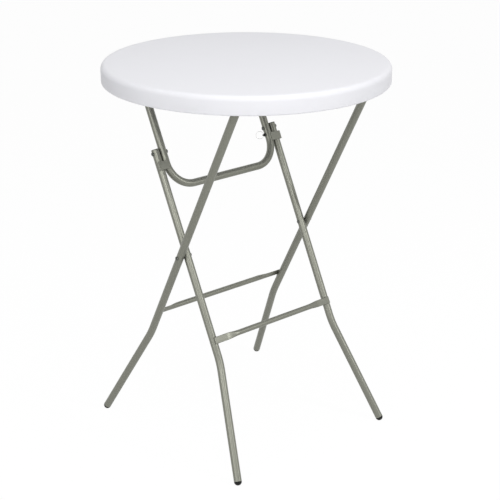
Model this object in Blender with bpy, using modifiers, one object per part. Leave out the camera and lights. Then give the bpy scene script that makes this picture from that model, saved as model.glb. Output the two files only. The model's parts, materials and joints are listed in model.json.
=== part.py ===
"""A round folding high table at rest: unfolded, standing on the floor.

Metres, +Z up. X runs across the scissor, Y along the pivot rods, and the
origin lies on the floor under the middle of the tabletop. Left is -Y.
The inner frame hangs from a U-shaped brace, the outer frame from the tabletop.
"""

import collections
import math

import bmesh
import bpy
from mathutils import Matrix, Vector

# Fits
GAP = 0.0003
HOLE_PLAY = 0.00035
OVERLAP = 0.002

# Tabletop: a blow-moulded shell with a deep rim
TABLE_RADIUS = 0.400
TABLE_HEIGHT = 1.100
RIM_DEPTH = 0.050
RIM_WIDTH = 0.025
PANEL_THICKNESS = 0.017
SHELL_WALL = 0.003
TOP_EDGE_RADIUS = 0.0148
RIM_EDGE_RADIUS = 0.004
RIM_FILLET = 0.003
DIMPLE_PITCH = 0.104
DIMPLE_RIM_MARGIN = 0.030
DIMPLE_MOUTH_RADIUS = 0.011
DIMPLE_TIP_RADIUS = 0.004
DIMPLE_DEPTH = 0.0125
DIMPLE_PLATE_MARGIN = 0.018
BOSS_RADIUS = 0.007
BLOW_HOLE_RADIUS = 0.004

# Linkage: pivots and feet in the side view
PIVOT_CLEARANCE = 0.006
OUTER_ROD_CLEARANCE = 0.011
BRACE_ROD_CLEARANCE = 0.050
INNER_FOOT_X = 0.3001
OUTER_FOOT_X = -0.3091
INNER_FOOT_KICK = 0.008
OUTER_FOOT_KICK = 0.0063
BRACE_BOLT_ALONG = 0.249

# Leg tubes
TUBE_RADIUS = 0.011
TUBE_WALL = 0.0012
BRACE_HALF_WIDTH = 0.193
BRACE_SPACING = 0.002
CROSSING_SPACING = 0.003
FLARE_LENGTH = 0.332
FLARE_WIDTH = 0.0663
FLARE_BEND_RADIUS = 0.250
TUBE_END_HEIGHT = 0.0103
PIVOT_OVERRUN = 0.0088
INNER_TOP_OVERRUN = 0.0102

# Brace
BRACE_BEND_RADIUS = 0.073
BRACE_BEND_DROP = 0.012

# Crossbars: thin tubes with their ends pressed flat on the legs
CROSSBAR_RADIUS = 0.0078
CROSSBAR_WALL = 0.0012
CROSSBAR_FLAT_HALF_HEIGHT = 0.0100
CROSSBAR_FLAT_HALF_THICKNESS = 0.0016
CROSSBAR_FLAT_LENGTH = 0.045
CROSSBAR_TAPER_LENGTH = 0.040
CROSSBAR_OFFSET = 0.0145
INNER_CROSSBAR_RISE = 0.0645
OUTER_CROSSBAR_RISE = 0.0746
INNER_CROSSBAR_LAP = 0.004
OUTER_CROSSBAR_LAP = -0.001

# Saddles: hooked stop plates, welded to the brace, that the inner legs rest in
SADDLE_DROPS = {"left": 0.0055, "right": -0.0025}
SADDLE_LENGTH = 0.0245
SADDLE_THICKNESS = 0.002
SADDLE_HOOK_THICKNESS = 0.0016
SADDLE_HOOK_PLAY = 0.0005
SADDLE_HOOK_DEPTH = 0.0005
SADDLE_CORNER_RADIUS = 0.0012
SADDLE_LAP = 0.0005

# Pivot rods, their caps and their brackets
ROD_RADIUS = 0.005
CAP_RADIUS = 0.0072
CAP_LENGTH = 0.0064
CAP_FLOOR = 0.0014
CAP_ROUND = 0.0012
BRACKET_THICKNESS = 0.002
BRACKET_PLAY = 0.0006
BRACKET_HALF_LENGTH = 0.022
BRACKET_FLANGE_WIDTH = 0.039
BRACKET_CORNER_RADIUS = 0.004
BRACKET_EAR_RADIUS = 0.011
SCREW_SPACING = 0.024
SCREW_FLANGE_SHARE = 0.6
SCREW_RADIUS = 0.002
SCREW_HEAD_RADIUS = 0.004
SCREW_HEAD_HEIGHT = 0.002
SCREW_DEPTH = 0.009
SCREW_HOLE_SPARE = 0.0015

# Brace bolts: the joint of brace and inner frame
BOLT_RADIUS = 0.004
BOLT_HEAD_RADIUS = 0.0056
BOLT_HEAD_HEIGHT = 0.0022
BOLT_HEAD_ROUND = 0.0010
NUT_RADIUS = 0.0062
NUT_HEIGHT = 0.002
SPACER_RADIUS = 0.0075

# Crossing screws and sleeve nuts: the joint of inner and outer frame
CROSSING_SCREW_RADIUS = 0.0035
CROSSING_HEAD_RADIUS = 0.0056
CROSSING_HEAD_HEIGHT = 0.0022
CROSSING_SPACER_RADIUS = 0.0068
SLEEVE_RADIUS = 0.0045
SLEEVE_BORE_RADIUS = 0.0028
SLEEVE_HEAD_RADIUS = 0.0052
SLEEVE_HEAD_HEIGHT = 0.0012

# Feet and end plugs
FOOT_RADIUS = 0.0109
FOOT_STEM_RADIUS = 0.0092
FOOT_STEM_LENGTH = 0.016
PLUG_FLANGE_THICKNESS = 0.0015
PLUG_STEM_LENGTH = 0.005

# Pull-pin lock on the right arm of the brace
LOCK_DROP = 0.020
BARREL_RADIUS = 0.005
BARREL_PROUD = 0.0038
BARREL_INNER_GAP = 0.0024
PIN_RADIUS = 0.0025
PIN_TIP_RADIUS = 0.0016
PIN_TIP_TAPER = 0.0015
PIN_HEAD_RADIUS = 0.003
PIN_HEAD_LENGTH = 0.005
PIN_HEAD_GAP = 0.0004
PIN_EYE_RADIUS = 0.00125
RING_RADIUS = 0.0115
RING_WIRE_RADIUS = 0.00055
RING_TURN = math.radians(40.7)

# Facets
TABLE_STEPS = 64
TURNED_STEPS = 18
SCREW_STEPS = 10
TUBE_RESOLUTION = 5
RING_RESOLUTION = 1
RING_STEPS = 20
HOLE_SIDES = 14
DIMPLE_SIDES = 8
NUT_SIDES = 6
FLARE_STEPS = 4
BRACE_BEND_STEPS = 6
EDGE_STEPS = 4
SMALL_EDGE_STEPS = 2
SECTION_POINTS = 16
CROSSBAR_TAPER_STEPS = 4

# Colours: red, green, blue in linear light
TABLE_WHITE = (0.80, 0.82, 0.85, 1)
FRAME_GREY = (0.23, 0.24, 0.22, 1)
HARDWARE_DARK = (0.10, 0.10, 0.095, 1)
ZINC = (0.50, 0.50, 0.49, 1)
RUBBER_BLACK = (0.018, 0.018, 0.016, 1)
WIRE_PALE = (0.62, 0.62, 0.60, 1)

SIDES = {"left": -1, "right": 1}
SIDEWAYS = Vector((0, 1, 0))
UP = Vector((0, 0, 1))

PANEL_BOTTOM = TABLE_HEIGHT - PANEL_THICKNESS
RIM_BOTTOM = TABLE_HEIGHT - RIM_DEPTH
RECESS_RADIUS = TABLE_RADIUS - RIM_WIDTH
DIMPLE_FIELD_RADIUS = RECESS_RADIUS - DIMPLE_RIM_MARGIN
PIVOT_HEIGHT = PANEL_BOTTOM - TUBE_RADIUS - PIVOT_CLEARANCE
INNER_HALF_WIDTH = BRACE_HALF_WIDTH + 2 * TUBE_RADIUS + BRACE_SPACING
OUTER_HALF_WIDTH = INNER_HALF_WIDTH + 2 * TUBE_RADIUS + CROSSING_SPACING
OUTER_INNER_FACE = OUTER_HALF_WIDTH - TUBE_RADIUS
OUTER_OUTER_FACE = OUTER_HALF_WIDTH + TUBE_RADIUS
INNER_INNER_FACE = INNER_HALF_WIDTH - TUBE_RADIUS
INNER_OUTER_FACE = INNER_HALF_WIDTH + TUBE_RADIUS
BRACE_INNER_FACE = BRACE_HALF_WIDTH - TUBE_RADIUS
BRACE_OUTER_FACE = BRACE_HALF_WIDTH + TUBE_RADIUS
LOCK_ALONG = BRACE_BOLT_ALONG + LOCK_DROP
BRACE_BAR_ALONG = LOCK_ALONG + BRACE_BEND_DROP + BRACE_BEND_RADIUS

Line = collections.namedtuple("Line", "top down face length kick")


def rod_distance(tube_face, clearance):
    """How far from the middle a rod sits, with its caps this clear of the rim."""
    rod_end = tube_face + GAP + CAP_LENGTH
    return math.sqrt((RECESS_RADIUS - clearance) ** 2 - rod_end**2)


def line_between(top_x, foot_x, kick, facing):
    """A frame's centre line in the side view; the feet kick out beyond its lower end."""
    top = Vector((top_x, 0, PIVOT_HEIGHT))
    kick_x = math.copysign(kick, foot_x)
    run = Vector((foot_x - kick_x, 0, 0)) - top
    down = run.normalized()
    face = SIDEWAYS.cross(down) * facing
    return Line(top, down, face, run.length, Vector((kick_x, 0, 0)))


def at(line, down, face, across):
    """The point this far down a frame, this far off its face and at this Y."""
    point = line.top + line.down * down + line.face * face
    return Vector((point.x, across, point.z))


def crossing_alongs(first, second):
    """How far down each line the two lines cross."""
    gap = second.top - first.top
    turn = first.down.x * second.down.z - first.down.z * second.down.x
    along_first = (gap.x * second.down.z - gap.z * second.down.x) / turn
    along_second = (gap.x * first.down.z - gap.z * first.down.x) / turn
    return along_first, along_second


BRACE_PIVOT_X = -rod_distance(BRACE_OUTER_FACE, BRACE_ROD_CLEARANCE)
OUTER_PIVOT_X = rod_distance(OUTER_OUTER_FACE, OUTER_ROD_CLEARANCE)
INNER = line_between(BRACE_PIVOT_X, INNER_FOOT_X, INNER_FOOT_KICK, -1)
OUTER = line_between(OUTER_PIVOT_X, OUTER_FOOT_X, OUTER_FOOT_KICK, 1)
INNER_CROSSING, OUTER_CROSSING = crossing_alongs(INNER, OUTER)
INNER_CROSSBAR_ALONG = INNER.length - FLARE_LENGTH - INNER_CROSSBAR_RISE
OUTER_CROSSBAR_ALONG = OUTER.length - FLARE_LENGTH - OUTER_CROSSBAR_RISE
INNER_CROSSBAR_REACH = INNER_HALF_WIDTH + INNER_CROSSBAR_LAP
OUTER_CROSSBAR_REACH = OUTER_HALF_WIDTH + OUTER_CROSSBAR_LAP

for old in list(bpy.data.objects):
    bpy.data.objects.remove(old)

parts = bpy.data.collections.new("folding_high_table")
cutters = bpy.data.collections.new("cutters")
cutters.hide_render = True
bpy.context.scene.collection.children.link(parts)
bpy.context.scene.collection.children.link(cutters)


def axis_empty(name, place):
    empty = bpy.data.objects.new(name, None)
    empty.location = place
    parts.objects.link(empty)
    return empty


outer_axis = axis_empty("outer_fold_axis", at(OUTER, 0, 0, 0))
brace_axis = axis_empty("brace_fold_axis", at(INNER, 0, 0, 0))
inner_axis = axis_empty("inner_fold_axis", at(INNER, BRACE_BOLT_ALONG, 0, 0))
LOCK_PLACE = at(INNER, LOCK_ALONG, 0, BRACE_HALF_WIDTH)
PIN_HEAD_START = BRACE_INNER_FACE - BARREL_PROUD - PIN_HEAD_GAP
PIN_EYE_Y = PIN_HEAD_START - PIN_HEAD_LENGTH / 2
PIN_EYE = Vector((LOCK_PLACE.x, PIN_EYE_Y, LOCK_PLACE.z))
pin_axis = axis_empty("lock_pin_axis", LOCK_PLACE)
ring_axis = axis_empty("lock_ring_axis", PIN_EYE)


def material(name, colour, roughness, metallic):
    made = bpy.data.materials.new(name)
    made.use_nodes = True
    shader = made.node_tree.nodes["Principled BSDF"]
    shader.inputs["Base Color"].default_value = colour
    shader.inputs["Roughness"].default_value = roughness
    shader.inputs["Metallic"].default_value = metallic
    return made


def evaluated_mesh(thing):
    """A plain copy of the object's evaluated mesh, in world space."""
    bpy.context.view_layer.update()
    graph = bpy.context.evaluated_depsgraph_get()
    mesh = bpy.data.meshes.new_from_object(thing.evaluated_get(graph))
    mesh.transform(thing.matrix_world)
    return mesh


def linked(name, data):
    made = bpy.data.objects.new(name, data)
    bpy.context.scene.collection.objects.link(made)
    return made


def baked(thing):
    """Swap an object for its evaluated mesh, with doubled points merged."""
    mesh = evaluated_mesh(thing)
    name = thing.name
    bpy.data.objects.remove(thing)
    work = bmesh.new()
    work.from_mesh(mesh)
    bmesh.ops.remove_doubles(work, verts=work.verts, dist=GAP / HOLE_SIDES)
    work.to_mesh(mesh)
    work.free()
    return linked(name, mesh)


def joined(name, things):
    """One object that holds the meshes of several as separate solids."""
    work = bmesh.new()
    for thing in things:
        mesh = evaluated_mesh(thing)
        work.from_mesh(mesh)
        bpy.data.objects.remove(thing)
    mesh = bpy.data.meshes.new(name)
    work.to_mesh(mesh)
    work.free()
    return linked(name, mesh)


def rod(name, start, end, radius, sides, end_radius=None):
    """A solid cylinder or cone between two points."""
    length = (end - start).length
    turn = (end - start).to_track_quat("Z", "Y").to_matrix().to_4x4()
    work = bmesh.new()
    bmesh.ops.create_cone(
        work,
        cap_ends=True,
        segments=sides,
        radius1=radius,
        radius2=radius if end_radius is None else end_radius,
        depth=length,
        matrix=Matrix.Translation((start + end) / 2) @ turn,
    )
    mesh = bpy.data.meshes.new(name)
    work.to_mesh(mesh)
    work.free()
    return linked(name, mesh)


def turned(name, profile, base, axis, steps):
    """A profile of (radius, height) points turned round the axis that leaves the base."""
    mesh = bpy.data.meshes.new(name)
    points = [(radius, 0, height) for radius, height in profile]
    mesh.from_pydata(points, [(n, n + 1) for n in range(len(points) - 1)], [])
    made = linked(name, mesh)
    made.matrix_world = (
        Matrix.Translation(base) @ axis.to_track_quat("Z", "Y").to_matrix().to_4x4()
    )
    screw = made.modifiers.new("turn", "SCREW")
    screw.steps = screw.render_steps = steps
    screw.use_merge_vertices = True
    screw.merge_threshold = GAP / HOLE_SIDES
    screw.use_smooth_shade = True
    return made


def arc(centre, radius, start, end, steps):
    """Points of an arc in (radius, height), with angles in quarter turns."""
    angles = [
        math.pi / 2 * (start + (end - start) * step / steps) for step in range(steps + 1)
    ]
    across, height = centre
    return [
        (across + radius * math.cos(angle), height + radius * math.sin(angle))
        for angle in angles
    ]


def ring_profile(outer_radius, inner_radius, bottom, top):
    """A plain ring: a closed profile, from its top outer edge round to itself."""
    return [
        (inner_radius, top),
        (outer_radius, top),
        (outer_radius, bottom),
        (inner_radius, bottom),
        (inner_radius, top),
    ]


def curve_object(name, points, radius, resolution, cyclic=False):
    curve = bpy.data.curves.new(name, "CURVE")
    curve.dimensions = "3D"
    curve.bevel_depth = radius
    curve.bevel_resolution = resolution
    spline = curve.splines.new("POLY")
    spline.points.add(len(points) - 1)
    for knot, point in zip(spline.points, points):
        knot.co = (*point, 1)
    spline.use_cyclic_u = cyclic
    return linked(name, curve)


def rounded_path(corners, radius, steps):
    """The points of a path through these corners, with an arc at each inner corner."""
    path = [corners[0]]
    for before, corner, after in zip(corners, corners[1:], corners[2:]):
        incoming = (corner - before).normalized()
        outgoing = (after - corner).normalized()
        turn = incoming.angle(outgoing)
        start = corner - incoming * radius * math.tan(turn / 2)
        side = (outgoing - incoming * incoming.dot(outgoing)).normalized()
        for step in range(steps + 1):
            angle = turn * step / steps
            ahead = incoming * radius * math.sin(angle)
            path.append(start + ahead + side * radius * (1 - math.cos(angle)))
    path.append(corners[-1])
    return path


def hollow_tube(name, points, radius, wall):
    """A bent tube, open at both ends: a surface along the path, thickened inwards."""
    made = baked(curve_object(name, points, radius, TUBE_RESOLUTION))
    work = bmesh.new()
    work.from_mesh(made.data)
    bmesh.ops.recalc_face_normals(work, faces=work.faces)
    middle = (points[0] + points[1]) / 2
    face = min(work.faces, key=lambda one: (one.calc_center_median() - middle).length)
    if face.normal.dot(face.calc_center_median() - middle) < 0:
        bmesh.ops.reverse_faces(work, faces=work.faces)
    work.to_mesh(made.data)
    work.free()
    thicken = made.modifiers.new("wall", "SOLIDIFY")
    thicken.thickness = wall
    thicken.offset = -1
    return made


def extruded(name, outline, half_thickness, place):
    """A flat outline, thickened both ways along the third axis of its place."""
    curve = bpy.data.curves.new(name, "CURVE")
    curve.dimensions = "2D"
    curve.fill_mode = "BOTH"
    curve.extrude = half_thickness
    spline = curve.splines.new("POLY")
    spline.points.add(len(outline) - 1)
    for knot, (first, second) in zip(spline.points, outline):
        knot.co = (first, second, 0, 1)
    spline.use_cyclic_u = True
    made = linked(name, curve)
    made.matrix_world = place
    made = baked(made)
    work = bmesh.new()
    work.from_mesh(made.data)
    bmesh.ops.recalc_face_normals(work, faces=work.faces)
    work.to_mesh(made.data)
    work.free()
    return made


def basis(origin, first, second, third):
    """The matrix that carries X, Y and Z onto these three directions."""
    turn = Matrix((first, second, third)).transposed().to_4x4()
    return Matrix.Translation(origin) @ turn


def box(name, low, high):
    work = bmesh.new()
    bmesh.ops.create_cube(work, size=1)
    size = [top - bottom for bottom, top in zip(low, high)]
    middle = [(top + bottom) / 2 for bottom, top in zip(low, high)]
    bmesh.ops.scale(work, verts=work.verts, vec=size)
    bmesh.ops.translate(work, verts=work.verts, vec=middle)
    mesh = bpy.data.meshes.new(name)
    work.to_mesh(mesh)
    work.free()
    return linked(name, mesh)


def boolean(target, other, operation):
    """Cut the other object from the target, or add it, and hide the other."""
    change = target.modifiers.new(other.name, "BOOLEAN")
    change.operation = operation
    change.solver = "EXACT"
    change.object = other
    if other.name not in cutters.objects:
        bpy.context.scene.collection.objects.unlink(other)
        cutters.objects.link(other)
        other.hide_render = True
        other.display_type = "WIRE"


def cut(target, other):
    boolean(target, other, "DIFFERENCE")


def finish(thing, look, rides_on=None, smooth=True):
    """Put a finished piece in the collection, with its own material and its parent."""
    bpy.context.scene.collection.objects.unlink(thing)
    parts.objects.link(thing)
    colour, roughness, metallic = look
    thing.data.materials.clear()
    thing.data.materials.append(material(thing.name, colour, roughness, metallic))
    if smooth and thing.type == "MESH":
        for face in thing.data.polygons:
            face.use_smooth = True
    if rides_on:
        thing.parent = rides_on
        thing.matrix_parent_inverse = Matrix.Translation(-rides_on.location)


PLASTIC = (TABLE_WHITE, 0.45, 0)
POWDER_COAT = (FRAME_GREY, 0.42, 0.15)
DARK_STEEL = (HARDWARE_DARK, 0.45, 0.6)
BRIGHT_STEEL = (ZINC, 0.35, 0.9)
BLACK_RUBBER = (RUBBER_BLACK, 0.6, 0)
PALE_WIRE = (WIRE_PALE, 0.3, 0.9)


# Brackets: an L of sheet steel inside each leg and each arm of the brace
BRACKET_TOP = PANEL_BOTTOM - GAP
BRACKET_BOTTOM = BRACKET_TOP - BRACKET_THICKNESS
OUTER_EAR_FACE = OUTER_INNER_FACE - BRACKET_PLAY
BRACE_EAR_FACE = BRACE_INNER_FACE - BRACKET_PLAY
SCREW_SET_IN = BRACKET_FLANGE_WIDTH * SCREW_FLANGE_SHARE
BRACKETS = {
    "outer_bracket": (OUTER_PIVOT_X, OUTER_EAR_FACE),
    "brace_bracket": (BRACE_PIVOT_X, BRACE_EAR_FACE),
}


def screw_places():
    for pivot_x, ear_face in BRACKETS.values():
        for side in SIDES.values():
            for end in (-1, 1):
                x = pivot_x + end * SCREW_SPACING / 2
                yield Vector((x, side * (ear_face - SCREW_SET_IN), BRACKET_BOTTOM))


def dimple_places():
    """A staggered field of dimples that keeps clear of the brackets and the blow hole."""
    row_pitch = DIMPLE_PITCH * math.sqrt(3) / 2
    rows = int(DIMPLE_FIELD_RADIUS / row_pitch)
    for row in range(-rows, rows + 1):
        shift = DIMPLE_PITCH / 2 if row % 2 else 0
        for column in range(-rows - 1, rows + 2):
            place = Vector((row * row_pitch, column * DIMPLE_PITCH + shift, 0))
            near_plate = any(
                abs(place.x - pivot_x) < BRACKET_HALF_LENGTH + DIMPLE_PLATE_MARGIN
                and ear_face - BRACKET_FLANGE_WIDTH - DIMPLE_PLATE_MARGIN
                < abs(place.y)
                < ear_face + DIMPLE_PLATE_MARGIN
                for pivot_x, ear_face in BRACKETS.values()
            )
            if 0 < place.length < DIMPLE_FIELD_RADIUS and not near_plate:
                yield place


def raised(place, height):
    return Vector((place.x, place.y, height))


# Tabletop
outer_profile = [(0, TABLE_HEIGHT)]
outer_profile += arc(
    (TABLE_RADIUS - TOP_EDGE_RADIUS, TABLE_HEIGHT - TOP_EDGE_RADIUS),
    TOP_EDGE_RADIUS,
    1,
    0,
    EDGE_STEPS,
)
outer_profile += arc(
    (TABLE_RADIUS - RIM_EDGE_RADIUS, RIM_BOTTOM + RIM_EDGE_RADIUS),
    RIM_EDGE_RADIUS,
    0,
    -1,
    SMALL_EDGE_STEPS,
)
outer_profile += arc(
    (RECESS_RADIUS + RIM_EDGE_RADIUS, RIM_BOTTOM + RIM_EDGE_RADIUS),
    RIM_EDGE_RADIUS,
    -1,
    -2,
    SMALL_EDGE_STEPS,
)
outer_profile += [
    (RECESS_RADIUS, PANEL_BOTTOM - RIM_FILLET),
    (RECESS_RADIUS - RIM_FILLET, PANEL_BOTTOM),
    (0, PANEL_BOTTOM),
]
void_profile = [(0, TABLE_HEIGHT - SHELL_WALL)]
void_profile += arc(
    (TABLE_RADIUS - TOP_EDGE_RADIUS, TABLE_HEIGHT - TOP_EDGE_RADIUS),
    TOP_EDGE_RADIUS - SHELL_WALL,
    1,
    0,
    EDGE_STEPS,
)
void_profile += [
    (TABLE_RADIUS - SHELL_WALL, RIM_BOTTOM + SHELL_WALL),
    (RECESS_RADIUS + SHELL_WALL, RIM_BOTTOM + SHELL_WALL),
    (RECESS_RADIUS + SHELL_WALL, PANEL_BOTTOM + SHELL_WALL),
    (0, PANEL_BOTTOM + SHELL_WALL),
]
tabletop = turned("tabletop", outer_profile, Vector((0, 0, 0)), UP, TABLE_STEPS)
void = turned("tabletop_void", void_profile, Vector((0, 0, 0)), UP, TABLE_STEPS)
dimples = []
dimple_walls = []
slope = (DIMPLE_MOUTH_RADIUS - DIMPLE_TIP_RADIUS) / DIMPLE_DEPTH
for number, place in enumerate(dimple_places()):
    dimples.append(
        rod(
            f"dimple_{number}",
            raised(place, PANEL_BOTTOM - OVERLAP),
            raised(place, PANEL_BOTTOM + DIMPLE_DEPTH),
            DIMPLE_MOUTH_RADIUS + slope * OVERLAP,
            DIMPLE_SIDES,
            DIMPLE_TIP_RADIUS,
        )
    )
    dimple_walls.append(
        rod(
            f"dimple_wall_{number}",
            raised(place, PANEL_BOTTOM),
            raised(place, TABLE_HEIGHT - SHELL_WALL / 2),
            DIMPLE_MOUTH_RADIUS + SHELL_WALL,
            DIMPLE_SIDES,
            DIMPLE_TIP_RADIUS + SHELL_WALL / 2,
        )
    )
bosses = [
    rod(
        f"boss_{number}",
        raised(place, PANEL_BOTTOM + SHELL_WALL / 2),
        raised(place, TABLE_HEIGHT - SHELL_WALL / 2),
        BOSS_RADIUS,
        DIMPLE_SIDES,
    )
    for number, place in enumerate(screw_places())
]
screw_holes = [
    rod(
        f"screw_hole_{number}",
        raised(place, PANEL_BOTTOM - OVERLAP),
        raised(place, PANEL_BOTTOM + SCREW_DEPTH + SCREW_HOLE_SPARE),
        SCREW_RADIUS + HOLE_PLAY,
        SCREW_STEPS,
    )
    for number, place in enumerate(screw_places())
]
blow_hole = rod(
    "blow_hole",
    raised(Vector((0, 0, 0)), PANEL_BOTTOM - OVERLAP),
    raised(Vector((0, 0, 0)), PANEL_BOTTOM + SHELL_WALL + OVERLAP),
    BLOW_HOLE_RADIUS,
    HOLE_SIDES,
)
cut(void, joined("dimple_walls", dimple_walls))
cut(void, joined("screw_bosses", bosses))
cut(tabletop, void)
cut(tabletop, joined("dimple_cuts", dimples))
cut(tabletop, joined("tabletop_screw_holes", screw_holes))
cut(tabletop, blow_hole)
finish(tabletop, PLASTIC)


def rounded_outline(corners, radius, steps):
    """A closed flat outline with every corner rounded."""
    points = [Vector((first, second, 0)) for first, second in corners]
    loop = [(points[-1] + points[0]) / 2, *points, (points[-1] + points[0]) / 2]
    return [(point.x, point.y) for point in rounded_path(loop, radius, steps)[1:-1]]


def bracket(name, pivot_x, ear_face, side):
    """A flange screwed to the tabletop and an ear that holds the rod."""
    flange = extruded(
        name,
        rounded_outline(
            [
                (pivot_x - BRACKET_HALF_LENGTH, side * ear_face),
                (pivot_x + BRACKET_HALF_LENGTH, side * ear_face),
                (pivot_x + BRACKET_HALF_LENGTH, side * (ear_face - BRACKET_FLANGE_WIDTH)),
                (pivot_x - BRACKET_HALF_LENGTH, side * (ear_face - BRACKET_FLANGE_WIDTH)),
            ],
            BRACKET_CORNER_RADIUS,
            SMALL_EDGE_STEPS,
        ),
        BRACKET_THICKNESS / 2,
        Matrix.Translation((0, 0, BRACKET_TOP - BRACKET_THICKNESS / 2)),
    )
    shoulder = BRACKET_HALF_LENGTH - BRACKET_CORNER_RADIUS
    round_bottom = arc((0, PIVOT_HEIGHT), BRACKET_EAR_RADIUS, 0, -2, EDGE_STEPS)
    middle = BRACKET_TOP - BRACKET_THICKNESS / 2
    outline = [(-shoulder, middle), (shoulder, middle), *round_bottom]
    ear_place = basis(
        Vector((pivot_x, side * (ear_face - BRACKET_THICKNESS / 2), 0)),
        Vector((1, 0, 0)),
        UP,
        -SIDEWAYS,
    )
    ear = extruded(f"{name}_ear", outline, BRACKET_THICKNESS / 2, ear_place)
    boolean(flange, ear, "UNION")
    rod_hole = rod(
        f"{name}_rod_hole",
        Vector((pivot_x, side * (ear_face - BRACKET_THICKNESS - OVERLAP), PIVOT_HEIGHT)),
        Vector((pivot_x, side * (ear_face + OVERLAP), PIVOT_HEIGHT)),
        ROD_RADIUS + HOLE_PLAY,
        HOLE_SIDES,
    )
    cut(flange, rod_hole)
    return flange


flange_holes = joined(
    "flange_holes",
    [
        rod(
            f"flange_hole_{number}",
            raised(place, BRACKET_BOTTOM - OVERLAP),
            raised(place, BRACKET_TOP + OVERLAP),
            SCREW_RADIUS + HOLE_PLAY,
            SCREW_STEPS,
        )
        for number, place in enumerate(screw_places())
    ],
)
for bracket_name, (bracket_x, bracket_face) in BRACKETS.items():
    for side_name, side in SIDES.items():
        plate = bracket(f"{bracket_name}_{side_name}", bracket_x, bracket_face, side)
        cut(plate, flange_holes)
        finish(plate, DARK_STEEL, smooth=False)

screw_profile = [
    (0, SCREW_DEPTH + BRACKET_THICKNESS),
    (SCREW_RADIUS / 2, SCREW_DEPTH + BRACKET_THICKNESS),
    (SCREW_RADIUS, SCREW_DEPTH),
    (SCREW_RADIUS, -GAP),
    (SCREW_HEAD_RADIUS, -GAP),
    (SCREW_HEAD_RADIUS, -SCREW_HEAD_HEIGHT / 2),
    (SCREW_HEAD_RADIUS / 2, -SCREW_HEAD_HEIGHT),
    (0, -SCREW_HEAD_HEIGHT),
]
for number, place in enumerate(screw_places(), 1):
    screw = turned(f"bracket_screw_{number}", screw_profile, place, UP, SCREW_STEPS)
    finish(screw, BRIGHT_STEEL)


# Pivot rods and the push-on caps on their ends
def pivot_rod(name, pivot_x, leg_face):
    reach = leg_face + GAP + CAP_LENGTH - CAP_FLOOR - GAP
    return rod(
        name,
        Vector((pivot_x, -reach, PIVOT_HEIGHT)),
        Vector((pivot_x, reach, PIVOT_HEIGHT)),
        ROD_RADIUS,
        HOLE_SIDES,
    )


def rod_caps(name, pivot_x, leg_face):
    profile = [(0, CAP_LENGTH)]
    profile += arc(
        (CAP_RADIUS - CAP_ROUND, CAP_LENGTH - CAP_ROUND), CAP_ROUND, 1, 0, SMALL_EDGE_STEPS
    )
    profile += [
        (CAP_RADIUS, 0),
        (ROD_RADIUS + HOLE_PLAY, 0),
        (ROD_RADIUS + HOLE_PLAY, CAP_LENGTH - CAP_FLOOR),
        (0, CAP_LENGTH - CAP_FLOOR),
    ]
    for side_name, side in SIDES.items():
        start = Vector((pivot_x, side * (leg_face + GAP), PIVOT_HEIGHT))
        cap = turned(f"{name}_{side_name}", profile, start, SIDEWAYS * side, HOLE_SIDES)
        finish(cap, DARK_STEEL)


finish(pivot_rod("outer_pivot_rod", OUTER_PIVOT_X, OUTER_OUTER_FACE), BRIGHT_STEEL)
finish(pivot_rod("brace_pivot_rod", BRACE_PIVOT_X, BRACE_OUTER_FACE), BRIGHT_STEEL)
rod_caps("outer_rod_cap", OUTER_PIVOT_X, OUTER_OUTER_FACE)
rod_caps("brace_rod_cap", BRACE_PIVOT_X, BRACE_OUTER_FACE)


# Legs
def hole_across(name, line, along, inner_y, outer_y, radius):
    return rod(
        name,
        at(line, along, 0, inner_y),
        at(line, along, 0, outer_y),
        radius + HOLE_PLAY,
        HOLE_SIDES,
    )


def leg_course(line, top_along, half_width, side):
    """The corners of a leg's centre line, and the direction of its splayed end."""
    top = at(line, top_along, 0, side * half_width)
    bend = at(line, line.length - FLARE_LENGTH, 0, side * half_width)
    floor_point = at(line, line.length, 0, side * (half_width + FLARE_WIDTH)) + line.kick
    splay = (floor_point - bend).normalized()
    end = floor_point + splay * (TUBE_END_HEIGHT / splay.z)
    return [top, bend, end], splay


def leg(name, line, top_along, half_width, side):
    corners, _ = leg_course(line, top_along, half_width, side)
    path = rounded_path(corners, FLARE_BEND_RADIUS, FLARE_STEPS)
    return hollow_tube(name, path, TUBE_RADIUS, TUBE_WALL)


INNER_TOP = BRACE_BOLT_ALONG - INNER_TOP_OVERRUN
for side_name, side in SIDES.items():
    outer_leg = leg(
        f"outer_leg_{side_name}", OUTER, -PIVOT_OVERRUN, OUTER_HALF_WIDTH, side
    )
    outside = side * (OUTER_OUTER_FACE + OVERLAP)
    inside = side * (OUTER_INNER_FACE - OVERLAP)
    name = f"outer_leg_rod_hole_{side_name}"
    cut(outer_leg, hole_across(name, OUTER, 0, inside, outside, ROD_RADIUS))
    name = f"outer_leg_screw_hole_{side_name}"
    cut(
        outer_leg,
        hole_across(name, OUTER, OUTER_CROSSING, inside, outside, CROSSING_SCREW_RADIUS),
    )
    finish(outer_leg, POWDER_COAT, outer_axis)

    inner_leg = leg(
        f"inner_leg_{side_name}", INNER, INNER_TOP, INNER_HALF_WIDTH, side
    )
    outside = side * (INNER_OUTER_FACE + OVERLAP)
    inside = side * (INNER_INNER_FACE - OVERLAP)
    name = f"inner_leg_bolt_hole_{side_name}"
    cut(
        inner_leg,
        hole_across(name, INNER, BRACE_BOLT_ALONG, inside, outside, BOLT_RADIUS),
    )
    name = f"inner_leg_sleeve_hole_{side_name}"
    cut(
        inner_leg,
        hole_across(name, INNER, INNER_CROSSING, inside, outside, SLEEVE_RADIUS),
    )
    finish(inner_leg, POWDER_COAT, inner_axis)


# Crossbars: a round tube whose ends are pressed to a flat stadium
def smooth_share(share):
    return share * share * (3 - 2 * share)


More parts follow.
